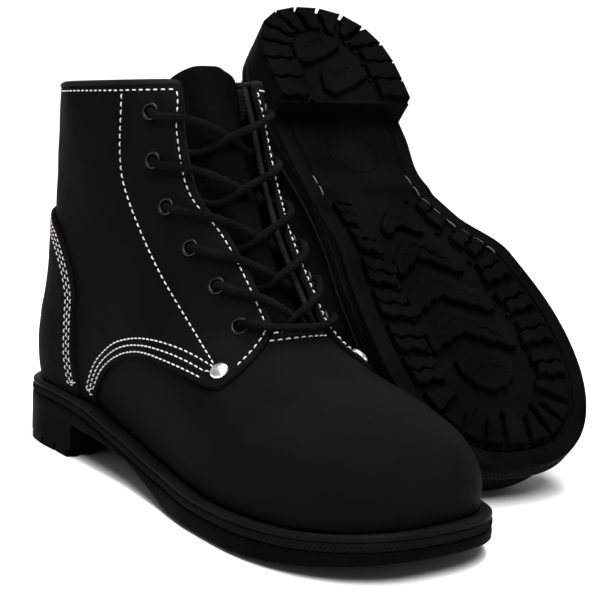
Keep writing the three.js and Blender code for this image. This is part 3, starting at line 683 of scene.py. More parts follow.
# ------------------------------------------------------------------ outlines in side view
FRONT_EDGE = [[129, 190], [132.5, 182], [137, 166], [148, 142], [164.5, 126], [178, 112], [189, 100],
              [196.5, 91.5], [201.5, 85], [204.2, 76], [206, 68], [204.5, 62.8], [198, 61.6]]
QUARTER_FOOT = [[191, 62.5], [178, 64], [165, 65], [150, 65.3], [137, 64], [123, 60.5], [110, 55], [97, 46],
                [89, 36], [85, 26]]
POCKET_EDGE = [[72, 30], [72, 35], [68.5, 48], [67.5, 60], [67.5, 70], [68, 81], [65, 90], [60, 99.5],
               [49, 111], [31, 118.5], [18, 121]]
POCKET_CROWN = (16.0, 121.3)
SHAFT_STITCH = [[107.5, 192], [107.6, 175], [107.6, 157], [110.3, 144], [117.5, 132], [129.5, 117.5],
                [144, 103], [161, 89], [179, 76.5], [196, 68]]
EYELETS = [[122.6, 175.6], [127.3, 153.6], [138.6, 133.3], [156, 116.3], [173.8, 101.4], [190.5, 85.6]]
RIVET_AT = [198.5, 67.5]
TOP_LEVEL = 0.992
COLLAR_STITCH_LEVEL = 0.98
SEAT = 2.3  # outer face of the quarters above the lasted surface
POCKET_SEAT = SEAT + 2.3  # outer face of the heel pocket
THROAT_X, THROAT_SIDE_Z, THROAT_Z = 200, 86.5, 88.8
FOOT_ROWS = (2.3, 5.4, 8.5)  # stitch rows' distances from the panels' edges
POCKET_ROWS = (2.4, 5.2, 8.0)
THROAT_ROWS = (2.6, 5.6)
LINING_TOP = -2.05  # outer face of the linings


def front_line(side):
    """The facing's edge, from the collar round its tip."""
    line = side_line(FRONT_EDGE, side)
    over = line[:, 1] < TOP_LEVEL
    first = line[over][0].copy()
    first[1] = TOP_LEVEL
    return np.vstack([first, line[over]])


def foot_line(side):
    line = side_line(QUARTER_FOOT, side)
    last = np.array([[line[-1, 0] - side * 0.004, 0.0]])
    return np.vstack([line, last])


def ring_around(at, radius, count=18):
    """A circle on the upper, as (around, level) points."""
    p, n = surface(at[1], at[0]), normal(at[1], at[0])
    a = unit(np.cross(n, [0, 0, 1.0]))
    b = np.cross(n, a)
    angle = circle(count)
    q = p + radius * (np.cos(angle)[:, None] * a + np.sin(angle)[:, None] * b)
    return on_side(q[:, 0], q[:, 2], 1 if at[0] < 0.5 else -1)


def eyelet_places(side):
    return [on_side(x, z, side) for x, z in EYELETS]


def quarter_part(side):
    back = 0.0 if side > 0 else 1.0
    front, foot = front_line(side), foot_line(side)
    low_edge = level_line(foot[-1, 0], back, 50)[1:]
    seam = np.stack([np.full(50, back), np.linspace(0, TOP_LEVEL, 50)], -1)[1:]
    top = level_line(back, front[0, 0], 50, TOP_LEVEL)[1:-1]
    outline = np.vstack([front, foot, low_edge, seam, top])
    holes = [ring_around(at, 3.1) for at in eyelet_places(side)]
    return panel(outline, SEAT, 0.3, holes=holes, lines=quarter_stitches(side), shape=soft_folds)


def soft_folds(around, v):
    """Slight unevenness of worn-in leather over the ankle, none at the sole."""
    wave = np.sin(around * 61 + v * 23) * np.sin(v * 41 + around * 17) + 0.5 * np.sin(around * 97 - v * 57)
    return 0.09 * wave * np.clip(v / 0.3, 0, 1)


def towards(line, distance, side):
    """parallel() that moves towards the heel and collar on either side."""
    a, b = parallel(line, distance, side), parallel(line, -distance, side)
    pa, pb = surface(a[:, 1], a[:, 0]), surface(b[:, 1], b[:, 0])
    return a if (pa[:, 0] - pa[:, 2]).mean() < (pb[:, 0] - pb[:, 2]).mean() else b


def quarter_stitches(side):
    foot = side_line(QUARTER_FOOT, side)
    rows = []
    for d in FOOT_ROWS:
        row = towards(foot, d, side)
        front = mix(on_side(*RIVET_AT, side), row[0], 0.95 if d == FOOT_ROWS[0] else 0.62)
        rows.append(np.vstack([front, row[row[:, 1] > 0.04]]))
    edge = side_line(FRONT_EDGE[:-2], side)
    edge = towards(edge, 3.0, side)
    edge = edge[edge[:, 1] < COLLAR_STITCH_LEVEL]
    rows.append(edge)
    shaft = side_line(SHAFT_STITCH, side)
    rows.append(shaft[shaft[:, 1] < COLLAR_STITCH_LEVEL])
    return rows


def pocket_stitches():
    """Three rows inside the pocket's edge, each from welt to welt round the back."""
    rows = []
    for d in POCKET_ROWS:
        middle = np.array([0.0, on_side(POCKET_CROWN[0], POCKET_CROWN[1] - d, 1)[1]])
        halves = []
        for side in (1, -1):
            row = wrapped(towards(side_line(POCKET_EDGE, side), d, side))
            row = row[(row[:, 1] > 0.045) & (row[:, 1] <= middle[1])]
            halves.append(np.vstack([row, np.linspace(row[-1], middle, 14)[1:]]))
        rows.append(np.vstack([halves[0], halves[1][-2::-1]]))
    return rows


def pocket_part():
    halves = []
    for side in (1, -1):
        line = wrapped(side_line(POCKET_EDGE, side))
        halves.append(np.vstack([[[line[0, 0], 0.0]], line]))
    crown = [[0.0, on_side(*POCKET_CROWN, 1)[1]]]
    base = level_line(halves[1][0, 0], halves[0][0, 0], 60)[1:-1]
    outline = np.vstack([halves[0], crown, halves[1][::-1], base])
    return panel(outline, POCKET_SEAT, SEAT + 0.3, around_mm=520, lines=pocket_stitches(), sink=0.25)


VAMP_UNDER = [[200, 86.5], [194, 80], [184, 78], [165, 78], [137, 77], [103, 61], [84, 49], [76, 36],
              [72, 30]]


def throat_line(drop=0.0):
    """The vamp's top edge between the facings, outer side to inner."""
    ends = [on_side(THROAT_X, THROAT_SIDE_Z - drop, side)[0] for side in (-1, 1)]
    around = np.linspace(ends[0], ends[1], 40)
    t = (around - around[0]) / (around[-1] - around[0])
    z = THROAT_SIDE_Z + (THROAT_Z - THROAT_SIDE_Z) * np.sin(np.pi * t) - drop
    return np.stack([around, at_height(around, z)], -1)


def vamp_part():
    sides = {side: side_line(VAMP_UNDER, side) for side in (1, -1)}
    base = level_line(sides[1][-1, 0], sides[-1][-1, 0], 160)
    outline = np.vstack([base, sides[-1][::-1], throat_line()[1:-1], sides[1]])
    lines = [throat_line(d) for d in THROAT_ROWS]
    return panel(outline, 0.0, -2.0, around_mm=640, spacing=2.7, lines=lines)


def linings():
    """The lining behind the quarters, and the one in front of it under the vamp."""
    rear = {}
    for side in (1, -1):
        line = front_line(side)
        line = line[surface(line[:, 1], line[:, 0])[:, 2] > 90]
        drop = np.array([on_side(x, z, side) for x, z in ((198, 86), (198, 70), (198, 45), (198, 20))])
        drop[-1, 1] = 0
        rear[side] = wrapped(np.vstack([line, drop]))
    base = level_line(rear[1][-1, 0], rear[-1][-1, 0], 90)[1:-1]
    top = level_line(rear[-1][0, 0], rear[1][0, 0], 90, TOP_LEVEL)[1:-1]
    outline = np.vstack([rear[1], base, rear[-1][::-1], top])
    back = panel(outline, LINING_TOP, -4.3, spacing=4.5, rim=0)
    sides = {side: on_side([199.5] * 4, [84, 70, 45, 20], side) for side in (1, -1)}
    for side in sides:
        sides[side][-1, 1] = 0
    base = level_line(sides[1][-1, 0], sides[-1][-1, 0], 120)[1:-1]
    outline = np.vstack([sides[1], base, sides[-1][::-1], throat_line(1.0)[1:-1]])
    front = panel(outline, LINING_TOP, -6.4, around_mm=640, spacing=5, rim=0)
    return back, front


def binding_part():
    """Folded edge round the collar, open at the throat."""
    count = 220
    ends = {side: front_line(side)[0, 0] for side in (1, -1)}
    around = np.linspace(ends[-1] - 1, ends[1], count)
    section = [(-4.3, 0.984), (-4.35, 0.991), (-4.0, 0.9965), (-3.0, 0.9995), (-1.0, 1.001), (0.8, 1.0008),
               (1.8, 0.9995), (2.35, 0.997), (2.6, 0.9935), (2.55, 0.991), (2.3, 0.9895), (0.4, 0.9895),
               (0.0, 0.990)]
    rings = np.stack([skin(np.full(count, v), around, np.full(count, o)) for o, v in section], 1)
    taper = np.clip(np.minimum(np.arange(count), count - 1 - np.arange(count)) / 6, 0, 1)
    squeeze = np.sqrt(1 - (1 - taper) ** 2) * 0.75 + 0.25
    middle = rings.mean(1, keepdims=True)
    rings = middle + (rings - middle) * squeeze[:, None, None]
    k = len(section)
    faces = grid_faces(count, k, True)
    faces += [tuple(range(k)), tuple(reversed(range((count - 1) * k, count * k)))]
    return rings.reshape(-1, 3), turned(faces)


TONGUE_ROOT, TONGUE_CREST, TONGUE_HALF_WIDTH = 0.475, 1.040, 0.16
TONGUE_SEAT = -4.7  # its outer face above the lasted surface, at its root
TONGUE_DEPTH = 5.2  # how much lower it lies behind the facings
TONGUE_BULGE, TOP_LOSS = 5.6, 0.42  # how far it swells out between them, and the share lost at its top
TONGUE_HALF_THICK = 1.5


def tongue_part():
    """Padded tongue: from its root under the vamp to a rounded top above the collar."""
    t, side = np.meshgrid(np.linspace(0, 1, 90), np.linspace(-1, 1, 40), indexing="ij")
    crest = TONGUE_CREST - 0.10 * np.abs(side) ** np.where(side < 0, 3.4, 2.4)
    v = TONGUE_ROOT + (crest - TONGUE_ROOT) * t
    top = np.clip((t - 0.93) / 0.07, 0, 1)
    width = TONGUE_HALF_WIDTH * (1 - 0.06 * top**3)
    around = 0.5 + side * width
    edge_line = front_line(1)
    edge_line = edge_line[np.argsort(edge_line[:, 1])]
    open_half = np.interp(v, edge_line[:, 1], np.abs(edge_line[:, 0] - 0.5))
    bulge = ease(1.35 * (1 - np.abs(around - 0.5) / open_half))
    drop = TONGUE_SEAT - TONGUE_DEPTH * ease((v - 0.5) / 0.1)
    drop = drop + TONGUE_BULGE * bulge * ease((v - 0.58) / 0.12) * (1 - TOP_LOSS * ease((v - 0.9) / 0.09))
    edge = np.sqrt(np.maximum(0, 1 - np.maximum(np.abs(side), top) ** 8))
    puff = 0.5 * np.sin(v * 75 + np.abs(side) * 1.5) * np.clip((v - 0.6) / 0.1, 0, 1) * (1 - side**2)
    half = TONGUE_HALF_THICK * edge + 0.12
    return slab(skin(v, around, drop - 1.6 + half + 0.25 * puff), skin(v, around, drop - 1.6 - half))


# ------------------------------------------------------------------ stitches
def along(s, values, distance):
    """A value, given at distances s along a line, at another distance."""
    return np.array([np.interp(distance, s, values[:, i]) for i in range(3)])


def stitches(lines, offset, radius=0.34):
    """Thread stitches: small rods that dip into the leather at both ends."""
    pitch, length = 3.7, 2.3
    t = np.array([-1, -0.8, -0.35, 0.35, 0.8, 1.0])
    rise = np.array([-0.3, -0.05, 0.22, 0.22, -0.05, -0.3])
    size = np.array([0.35, 0.85, 1, 1, 0.85, 0.35])
    angle = circle(7)
    faces = grid_faces(6, 7, True) + [tuple(reversed(range(7))), tuple(range(35, 42))]
    parts = []
    for line in lines:
        p = skin(line[:, 1], line[:, 0], np.full(len(line), float(offset)))
        n = normal(line[:, 1], line[:, 0])
        s = lengths(p)
        for k in range(int(s[-1] / pitch)):
            c = (k + 0.5) * pitch
            up = unit(along(s, n, c))
            d = unit(along(s, p, c + 0.6) - along(s, p, c - 0.6))
            across = np.cross(up, d)
            axis = along(s, p, c) + t[:, None] * (length / 2) * d + rise[:, None] * up
            ring = np.cos(angle)[:, None] * across + np.sin(angle)[:, None] * up
            v = axis[:, None, :] + ring[None] * (radius * size)[:, None, None]
            parts.append((v.reshape(-1, 3), faces))
    return joined(parts)


# ------------------------------------------------------------------ hardware
def eyelet_parts(side):
    arc = np.linspace(0, np.pi, 9)
    rim = [(3.45 + 0.75 * np.cos(a), SEAT + 0.1 + 0.75 * np.sin(a)) for a in arc]
    profile = [(4.2, SEAT - 0.25)] + rim
    profile += [(2.68, 0.5), (2.68, -4.4), (3.1, -4.8), (3.6, -4.6), (3.4, -4.3), (3.0, -4.2)]
    eyelet = revolve(profile + [(3.0, SEAT - 0.25), (4.2, SEAT - 0.25)])
    return joined([seated(eyelet, surface(at[1], at[0]), normal(at[1], at[0]))
                   for at in eyelet_places(side)])


def rivet_part(side):
    at = on_side(*RIVET_AT, side)
    arc = np.linspace(0, np.pi / 2, 9)[:-1]
    dome = [(4.3 * np.cos(a), SEAT + 0.55 + 1.9 * np.sin(a)) for a in arc]
    shank = [(0.02, -5.6), (2.9, -5.5), (3.0, -4.9), (1.5, -4.7), (1.5, SEAT), (4.0, SEAT)]
    profile = shank + [(4.3, SEAT + 0.2)] + dome + [(0.02, SEAT + 2.45)]
    part = revolve(profile, 36)
    return seated(part, surface(at[1], at[0]), normal(at[1], at[0]))


# ------------------------------------------------------------------ the lace
LACE_RADIUS = 1.85
LACE_IN, LACE_UNDER, LACE_OVER = -6.8, -2.1, 1.8


def mix(a, b, t):
    return a + (b - a) * t


def near_eyelet(at, to, distance, height):
    centre, n = surface(at[1], at[0]), normal(at[1], at[0])
    d = surface(to[1], to[0]) - centre
    d = unit(d - n * (d @ n))
    return centre + d * distance + n * height


def lift(at, height):
    return skin(np.array([at[1]]), np.array([at[0]]), np.array([float(height)]))[0]


def half_lace(start, bar, ends):
    side, come, route = start, bar, []
    for k in range(5, -1, -1):
        here = eyelet_places(side)[k]
        to = eyelet_places(-side)[k - 1] if k > 0 else ends[side][0]
        route += [near_eyelet(here, come, 4.4, 5.0), near_eyelet(here, come, 1.1, 3.6),
                  near_eyelet(here, to, 0, -1), near_eyelet(here, to, 1.2, -5.6),
                  near_eyelet(here, to, 6, LACE_IN)]
        if k > 0:
            middle = LACE_OVER if side < 0 else LACE_UNDER
            route += [lift(mix(here, to, 0.27), LACE_IN), lift(mix(here, to, 0.5), middle),
                      lift(mix(here, to, 0.73), 4.9), lift(mix(here, to, 0.85), 5.1)]
        come, side = here, -side
    return route


def lace_route():
    first = {side: eyelet_places(side)[5] for side in (1, -1)}
    bar = mix(first[-1], first[1], 0.5)
    ends = {side: [on_side(x, z, side) for x, z in ((100, 160), (88, 138), (80, 116), (76, 96))]
            for side in (1, -1)}
    chains = {}
    for side in (-1, 1):
        over = lift(mix(first[side], bar, 0.45), 5.0)
        tail = [lift(at, LACE_IN) for at in ends[-side]]
        chains[side] = [over] + half_lace(side, bar, ends) + tail
    return np.array(chains[1][::-1] + [lift(bar, 4.2)] + chains[-1])


def lace_part():
    path = resample(spline(lace_route(), 14), 0.65)

    def braid(angle, s):
        w = 2 * np.pi / 5.2
        return 1 + 0.07 * np.maximum(np.cos(4 * angle + w * s), np.cos(4 * angle - w * s)) - 0.03

    return tube(path, LACE_RADIUS, 18, braid), path


def tip_parts(path):
    tips = {}
    for side, end, before in ((1, path[-1], path[-4]), (-1, path[0], path[3])):
        d = unit(end - before)
        points = [end + d * s for s in np.linspace(-1.5, 16, 14)]
        tips[side] = tube(points, 1.5, 16, lambda a, s: 1 - 0.25 * ease((s - 14.5) / 3) + 0 * a)
    return tips


# ------------------------------------------------------------------ the sole
def outline_points(count):
    t = np.linspace(0, 1, 4000)
    x = SOLE_LENGTH * (1 - np.cos(np.pi * t)) / 2
    lateral = np.stack([x, sole_edge(x, -1)], -1)
    medial = np.stack([x, sole_edge(x, 1)], -1)[::-1][1:-1]
    loop = np.vstack([lateral, medial])
    s = lengths(np.vstack([loop, loop[:1]]))
    return resample(loop, s[-1] / count, True)


RIB_PITCH = 2.1
RIB_STEPS = 5
perimeter = lengths(np.vstack([outline_points(900), outline_points(900)[:1]]))[-1]
RIBS = int(round(perimeter / RIB_PITCH))
EDGE_COUNT = RIBS * RIB_STEPS
edge_xy = outline_points(EDGE_COUNT)


edge_out = outward(edge_xy, 6)


def edge_row(index, inset, dz):
    xy = edge_xy[index] - edge_out[index] * np.asarray(inset, float)[..., None]
    return np.column_stack([xy, sole_top(edge_xy[index, 0]) + dz])


def welt_part():
    index = np.arange(len(edge_xy))
    ones = np.ones(len(index))
    rows = []
    bead = [(12, -0.3), (5.0, -0.1), (4.2, 0.05), (3.4, 0.6), (2.4, 0.95), (1.3, 0.75), (0.45, 0.1),
            (0.15, -0.8), (0.4, -1.6), (1.15, -1.95), (1.2, -2.3), (0.75, -2.5)]
    for inset, dz in bead:
        rows.append(edge_row(index, inset * ones, dz))
    for k in range(8):
        t = k / 7
        phase = 2 * np.pi * (index / RIB_STEPS + 1.1 * t)
        rib = 0.5 * np.cos(phase)
        fade = min(1, t / 0.15, (1 - t) / 0.15)
        rows.append(edge_row(index, 0.35 * ones - rib * fade + 0.3 * (1 - fade), -2.7 - 3.1 * t))
    for inset, dz in ((1.1, -6.1), (12, -6.2)):
        rows.append(edge_row(index, inset * ones, dz))
    v = np.vstack(rows)
    faces = grid_faces(len(rows), len(index), True)
    k = (len(rows) - 1) * len(index)
    n = len(index)
    faces += [(k + i, k + (i + 1) % n, (i + 1) % n, i) for i in range(n)]
    return v, turned(faces)


BORDER = 1.5
FLOOR = 4.2
HEEL_FLOOR = 3.8
HEEL_BLOCK_TOP = 18.5
HEEL_SEAT = 17.0  # underside of the sole's body over the heel block
WALL_TOP = 6.0  # top of the sidewall, below the sole's top
BEAD_RELIEF = 0.4


def bottom_of(x):
    """Height of what touches the ground, in front of the heel."""
    return np.maximum(0, waist_bottom(np.maximum(x, 75)))


def tread_share(x):
    """0 on the smooth waist, 1 where the forefoot's tread starts."""
    return ease((x - 123) / 8)


def filled(loop, height, spacing=4.0, facing=-1):
    """Flat filled outline with points inside it, its height a function of x."""
    xs = np.arange(loop[:, 0].min(), loop[:, 0].max(), spacing)
    ys = np.arange(loop[:, 1].min(), loop[:, 1].max(), spacing)
    g = np.stack([a.ravel() for a in np.meshgrid(xs, ys)], -1)
    g = g[inside(g, loop)]
    g = g[distance_to(g, loop, True) > spacing * 0.4]
    points = np.vstack([loop, g])
    flat, tri = triangulated(points, loop_edges(len(loop)), lambda at: inside(at, loop), facing)
    return np.column_stack([flat, height(flat[:, 0])]), [tuple(t) for t in tri]


def sole_body():
    """Sidewall and underside, without the lugs: border, stitched groove and recessed floor."""
    index = np.arange(0, len(edge_xy), 3)
    xy, out = edge_xy[index], edge_out[index]
    x = xy[:, 0]
    top = sole_top(x)
    share = tread_share(x)
    under = np.where(x < HEEL_LENGTH, HEEL_SEAT, bottom_of(x))
    border = under + BORDER * share

    def row(inset, z):
        return np.column_stack([xy - out * inset, z])

    rows = [row(12, top - WALL_TOP), row(1.3, top - WALL_TOP), row(0.5, top - 6.3), row(0.05, top - 7.0)]
    for t in (0.3, 0.65):
        rows.append(row(-0.1 * math.sin(math.pi * t), (top - 7.0) * (1 - t) + (border + 0.9) * t))
    for inset, rise in ((0.0, 0.9), (0.25, 0.3), (0.9, 0), (4.0, 0), (7.9, 0), (8.2, 0.9), (9.2, 1.0)):
        rows.append(row(inset, border + rise))
    rows.append(row(9.5, border + 0.4 + 1.2 * share))
    rows.append(row(10.2, np.where(share > 0, under + BORDER + (FLOOR - BORDER) * share, under)))
    faces = turned(grid_faces(len(rows), len(index), True))

    def floor(x):
        base = np.where(x < HEEL_LENGTH, HEEL_SEAT, bottom_of(x))
        return base + FLOOR * tread_share(x)

    return joined([(np.vstack(rows), faces), filled(rows[-1][:, :2], floor),
                   filled(rows[0][:, :2], lambda x: sole_top(x) - WALL_TOP, 8, 1)])


def heel_loop():
    keep = np.where(edge_xy[:, 0] < HEEL_LENGTH - 0.2)[0]
    first = np.where(np.diff(keep) > 1)[0]
    order = np.concatenate([keep[first[0] + 1:], keep[:first[0] + 1]]) if len(first) else keep
    xy = edge_xy[order[::4]]
    a, b = xy[0].copy(), xy[-1].copy()
    a[0] = b[0] = HEEL_LENGTH
    return np.vstack([xy, resample(np.vstack([b, a]), 4)])


def oriented(loop):
    """The loop, counter-clockwise."""
    area = np.sum(loop[:, 0] * np.roll(loop[:, 1], -1) - np.roll(loop[:, 0], -1) * loop[:, 1])
    return loop if area > 0 else loop[::-1]


def shrunk(loop, distance):
    return loop - outward(loop) * distance


def prism(loop, top, bottom, chamfer=0.5):
    """Block under an outline: flat underside at bottom(x), sides up to top(x), with a small chamfer."""
    loop = oriented(np.array(loop, float))
    small = shrunk(loop, chamfer)
    rings = [np.column_stack([loop, top(loop[:, 0])]),
             np.column_stack([loop, bottom(loop[:, 0]) + chamfer]),
             np.column_stack([small, bottom(small[:, 0])])]
    n = len(loop)
    faces = turned(grid_faces(3, n, True))
    faces += [tuple(reversed(range(2 * n, 3 * n))), tuple(range(n))]
    return np.vstack(rings), faces


def level(z):
    """A height that is the same everywhere."""
    return lambda x: np.full_like(x, z)


def heel_block():
    loop = oriented(heel_loop())
    small = shrunk(loop, 0.4)
    rings = ((loop, HEEL_BLOCK_TOP), (loop, 12.0), (loop, HEEL_FLOOR + 0.4), (small, HEEL_FLOOR))
    v = np.vstack([np.column_stack([ring, level(z)(ring[:, 0])]) for ring, z in rings])
    return joined([(v, turned(grid_faces(4, len(loop), True))), filled(small, level(HEEL_FLOOR), 6),
                   filled(loop, level(HEEL_BLOCK_TOP), 8, 1)])


# perimeter places: distance along the sole's edge, and distance in from it
edge_s = lengths(np.vstack([edge_xy, edge_xy[:1]]))


def from_edge(s, inset):
    s = np.asarray(s, float) % edge_s[-1]
    i = np.clip(np.searchsorted(edge_s, s) - 1, 0, len(edge_xy) - 1)
    return edge_xy[i] - edge_out[i] * np.asarray(inset, float)[..., None]


def wavy_bar(start, width, near, far, wave, lead=0.0, squeeze=1.0):
    """A lug set square to the sole's edge, with wavy sides."""
    d = np.linspace(near, far, 13)
    t = (d - near) / (far - near)
    zig = wave * np.where((t * 4 % 2) < 1, (t * 4 % 1) * 2 - 1, 1 - (t * 4 % 1) * 2)
    narrow = 1 + (squeeze - 1) * t
    centre = start + width / 2 + lead * t
    left = from_edge(centre - width / 2 * narrow + zig, d)
    right = from_edge(centre + width / 2 * narrow + zig, d)
    return np.vstack([left, right[::-1]])


def edge_place(x, lateral):
    half = np.argmax(edge_xy[:, 0])
    index = np.arange(0, half) if lateral else np.arange(half, len(edge_xy))
    return edge_s[index[np.argmin(np.abs(edge_xy[index, 0] - x))]]


def forefoot_top(x):
    return bottom_of(x) + FLOOR + 0.4


def heel_lugs():
    """Lugs round the heel with a stud between each two, and two raised shapes in the middle."""
    parts = []
    start = edge_place(HEEL_LENGTH - 1.5, False)
    end = edge_place(HEEL_LENGTH - 1.5, True) + edge_s[-1]
    count = 13
    pitch = (end - start) / count
    for k in range(count):
        squeeze = 0.6 if abs(k - (count - 1) / 2) < 3.6 else 1.0
        far = 19.0 if k % 2 else 17.0
        bar = wavy_bar(start + pitch * k + 1.1, pitch - 2.2, 0.0, far, 0.8, squeeze=squeeze)
        parts.append(prism(bar, level(HEEL_FLOOR + 0.5), level(0.0), 0.4))
        centre = from_edge(np.array([start + pitch * (k + 1)]), np.array([19.0]))[0]
        parts.append(prism(stud(centre), level(HEEL_FLOOR + 0.3), level(HEEL_FLOOR - 1.8), 0.3))
    for cx, cy in ((30, -6.5), (53, 2.0)):
        parts.append(prism(crescent(cx, cy), level(HEEL_FLOOR + 0.5), level(BEAD_RELIEF), 0.6))
        parts.append(squiggle(cx - 1.5, cy))
    return parts


def stud(centre, radius=1.3):
    angle = circle(10)
    return np.array(centre) + radius * np.stack([np.cos(angle), np.sin(angle)], -1)


HEEL_TURN = 0.5


def heel_shape(cx, cy, x, y):
    """Points of a shape on the heel, turned and moved to its place."""
    c, s = math.cos(HEEL_TURN), math.sin(HEEL_TURN)
    return np.stack([cx + c * x - s * y, cy + s * x + c * y], -1)


def crescent(cx, cy):
    angle = circle(56)
    r = 1 + 0.03 * np.cos(7 * angle) + 0.02 * np.cos(11 * angle + 1)
    return heel_shape(cx, cy, 9.4 * np.cos(angle) * r + 4.5 * np.sin(angle) ** 2, 17.0 * np.sin(angle) * r)


def squiggle(cx, cy, length=15.0, wave=1.3, radius=0.55):
    t = np.linspace(-1, 1, 40)
    path = np.column_stack([heel_shape(cx, cy, wave * np.sin(t * 7), t * length / 2), np.full(40, radius)])
    return tube(path, radius, 8)


def chevron(x, y, inner, outer, thick):
    """Arrow-shaped lug, its point towards the heel and notches along its front."""
    notch = 1.5
    back = [(x + outer[0], y - outer[1]), (x, y), (x + inner[0], y + inner[1])]
    front = [(x + inner[0] + thick * 0.75, y + inner[1] + 0.5), (x + thick, y + 0.5),
             (x + outer[0] + thick * 0.7, y - outer[1] - 0.5)]
    line = resample(np.array(front), 2.2)
    line[:, 0] += notch * ((np.arange(len(line)) // 2) % 2)
    return np.vstack([resample(np.array(back), 3), line])


def relief_bottom(x):
    """Underside of the shapes that stay just off the ground."""
    return bottom_of(x) + BEAD_RELIEF


def forefoot_lugs():
    """Pairs of lugs and studs along both edges, lugs round the toe, and shapes in the middle."""
    parts = []
    for lateral in (True, False):
        a, b = edge_place(133 if lateral else 131, lateral), edge_place(262, lateral)
        count = 6
        pitch = (b - a) / count
        sign = 1 if b > a else -1
        for k in range(count):
            at = min(a + pitch * k, a + pitch * (k + 1))
            size = abs(pitch)
            far = (20, 24, 28, 29, 29, 28)[k]
            width = (size - 7.6) / 2
            for bar in (0, 1):
                start = at + 3.0 + bar * (width + 1.6)
                lug = wavy_bar(start, width, 11.0, far - 1.8 * ((k + bar) % 2), 1.05, lead=2.6 * sign)
                parts.append(prism(lug, forefoot_top, bottom_of))
            centre = from_edge(np.array([at + size]), np.array([far - 1.0]))[0]
            parts.append(prism(stud(centre), forefoot_top, lambda x: bottom_of(x) + 1.8, 0.3))
    a, b = edge_place(264, True), edge_place(264, False)
    count = 9
    pitch = (b - a) / count
    for k in range(count):
        lug = wavy_bar(a + pitch * k + 1.4, pitch - 2.8, 11.0, 29 - 4 * (k % 2), 0.6, squeeze=0.45)
        parts.append(prism(lug, forefoot_top, bottom_of))
    chevrons = [(144, -5, (12, 11), (13, 10), 12), (166, -6, (16, 22), (17, 15), 15),
                (190, -5, (16, 28), (17, 19), 16), (214, -3, (15, 28), (15, 20), 15)]
    for x, y, inner, outer, thick in chevrons:
        parts.append(prism(chevron(x, y, inner, outer, thick), forefoot_top, relief_bottom))
        parts.append(line_bead([(x + outer[0] * 0.8 + thick / 2, y - outer[1] * 0.8), (x + thick * 0.5, y),
                                (x + inner[0] * 0.8 + thick / 2, y + inner[1] * 0.8)]))
    parts.append(prism(toe_pad(), forefoot_top, relief_bottom, 0.7))
    parts.append(line_bead([(254, -7), (250, -3), (249, 3), (250, 9), (254, 13)]))
    return parts


def line_bead(points):
    xy = resample(spline(np.array(points, float), 8), 0.9)
    n = np.stack([-np.gradient(xy[:, 1]), np.gradient(xy[:, 0])], -1)
    xy = xy + unit(n) * (0.9 * np.sin(lengths(xy) * 1.05))[:, None]
    return tube(np.column_stack([xy, bottom_of(xy[:, 0]) + 0.5]), 0.5, 8)


def toe_pad():
    corners = [[245, -13], [240, 3], [245, 19], [253, 18], [260, 12], [263, 3], [260, -6], [253, -12]]
    loop = resample(spline(corners, 8, closed=True), 2.2, True)
    return loop + outward(loop) * (0.8 * ((np.arange(len(loop)) // 2) % 2))[:, None]


def sole_ring():
    """Plain raised ring on the smooth waist."""
    angle = np.linspace(0, 2 * np.pi, 91)
    x, y = 97 + 14.5 * np.cos(angle), -2 + 14.5 * np.sin(angle)
    return tube(np.column_stack([x, y, bottom_of(x) + 0.1]), 0.55, 8, caps=False)


def sole_part():
    return joined([sole_body(), heel_block(), sole_ring()] + heel_lugs() + forefoot_lugs())


def sole_thread():
    """Thread in the groove on the underside, along the waist and part of the forefoot."""
    parts = []
    pitch = 8.6
    dip = np.array([1.3, 0.75, 0.6, 0.6, 0.6, 0.75, 1.3])
    for lateral, low, high in ((True, 112, 135), (False, 112, 178)):
        a, b = sorted((edge_place(low, lateral), edge_place(high, lateral)))
        for k in range(int((b - a) / pitch)):
            s = a + pitch * (k + 0.5) + np.linspace(-3.4, 3.4, 7)
            xy = from_edge(s, np.full(7, 8.7))
            depth = bottom_of(xy[:, 0]) + BORDER * tread_share(xy[:, 0]) + dip
            parts.append(tube(np.column_stack([xy, depth]), 0.42, 7))
    return joined(parts)


BED_INSET, BED_BASE, BED_TOP = 16, 2.7, 7.4


def footbed_part():
    """Soft footbed with a raised edge, between the heel and the toe."""
    inside_length = SOLE_LENGTH - 2 * BED_INSET
    xs = BED_INSET + inside_length * (1 - np.cos(np.linspace(0.02, np.pi - 0.02, 70))) / 2
    ys = np.sin(np.linspace(-np.pi / 2, np.pi / 2, 18))
    x, t = np.meshgrid(xs, ys, indexing="ij")
    low, high = sole_edge(x, -1, BED_INSET), sole_edge(x, 1, BED_INSET)
    y = low + (high - low) * (t + 1) / 2
    cup = 2.2 * np.abs(t) ** 4
    top = sole_top(x) + BED_TOP + cup - 2.5 * np.maximum(0, np.abs(t) - 0.96) / 0.04
    base = sole_top(x) + BED_BASE
    return slab(np.stack([x, y, top], -1), np.stack([x, y, base], -1), inverted=True)


# ------------------------------------------------------------------ camera, floor and light
CAMERA_AT = Vector((761.5 - HEEL_TO_ORIGIN, -411.4, 214.5)) * MM
CAMERA_TO = Vector((152.52 - HEEL_TO_ORIGIN, 38.25, 88.2)) * MM
CAMERA_ROLL = math.radians(2.49)
LENS = 96.2
FLOOR_BACK, FLOOR_FRONT, FLOOR_HALF_WIDTH = 1.4, -2.2, 3.5  # metres, seen from the camera
SWEEP = 0.8  # radius of the floor's rise into the backdrop
BACKDROP_TOP = 3.2
WORLD_STRENGTH = 0.25
KEY_AT, KEY_SIZE, KEY_POWER = (1.3, -0.5, 1.7), 1.2, 50
TOP_AT, TOP_SIZE, TOP_POWER = (0.2, 0.1, 2.1), 1.5, 78
LIGHTS_AIM = Vector((0.1, 0.04, 0.08))


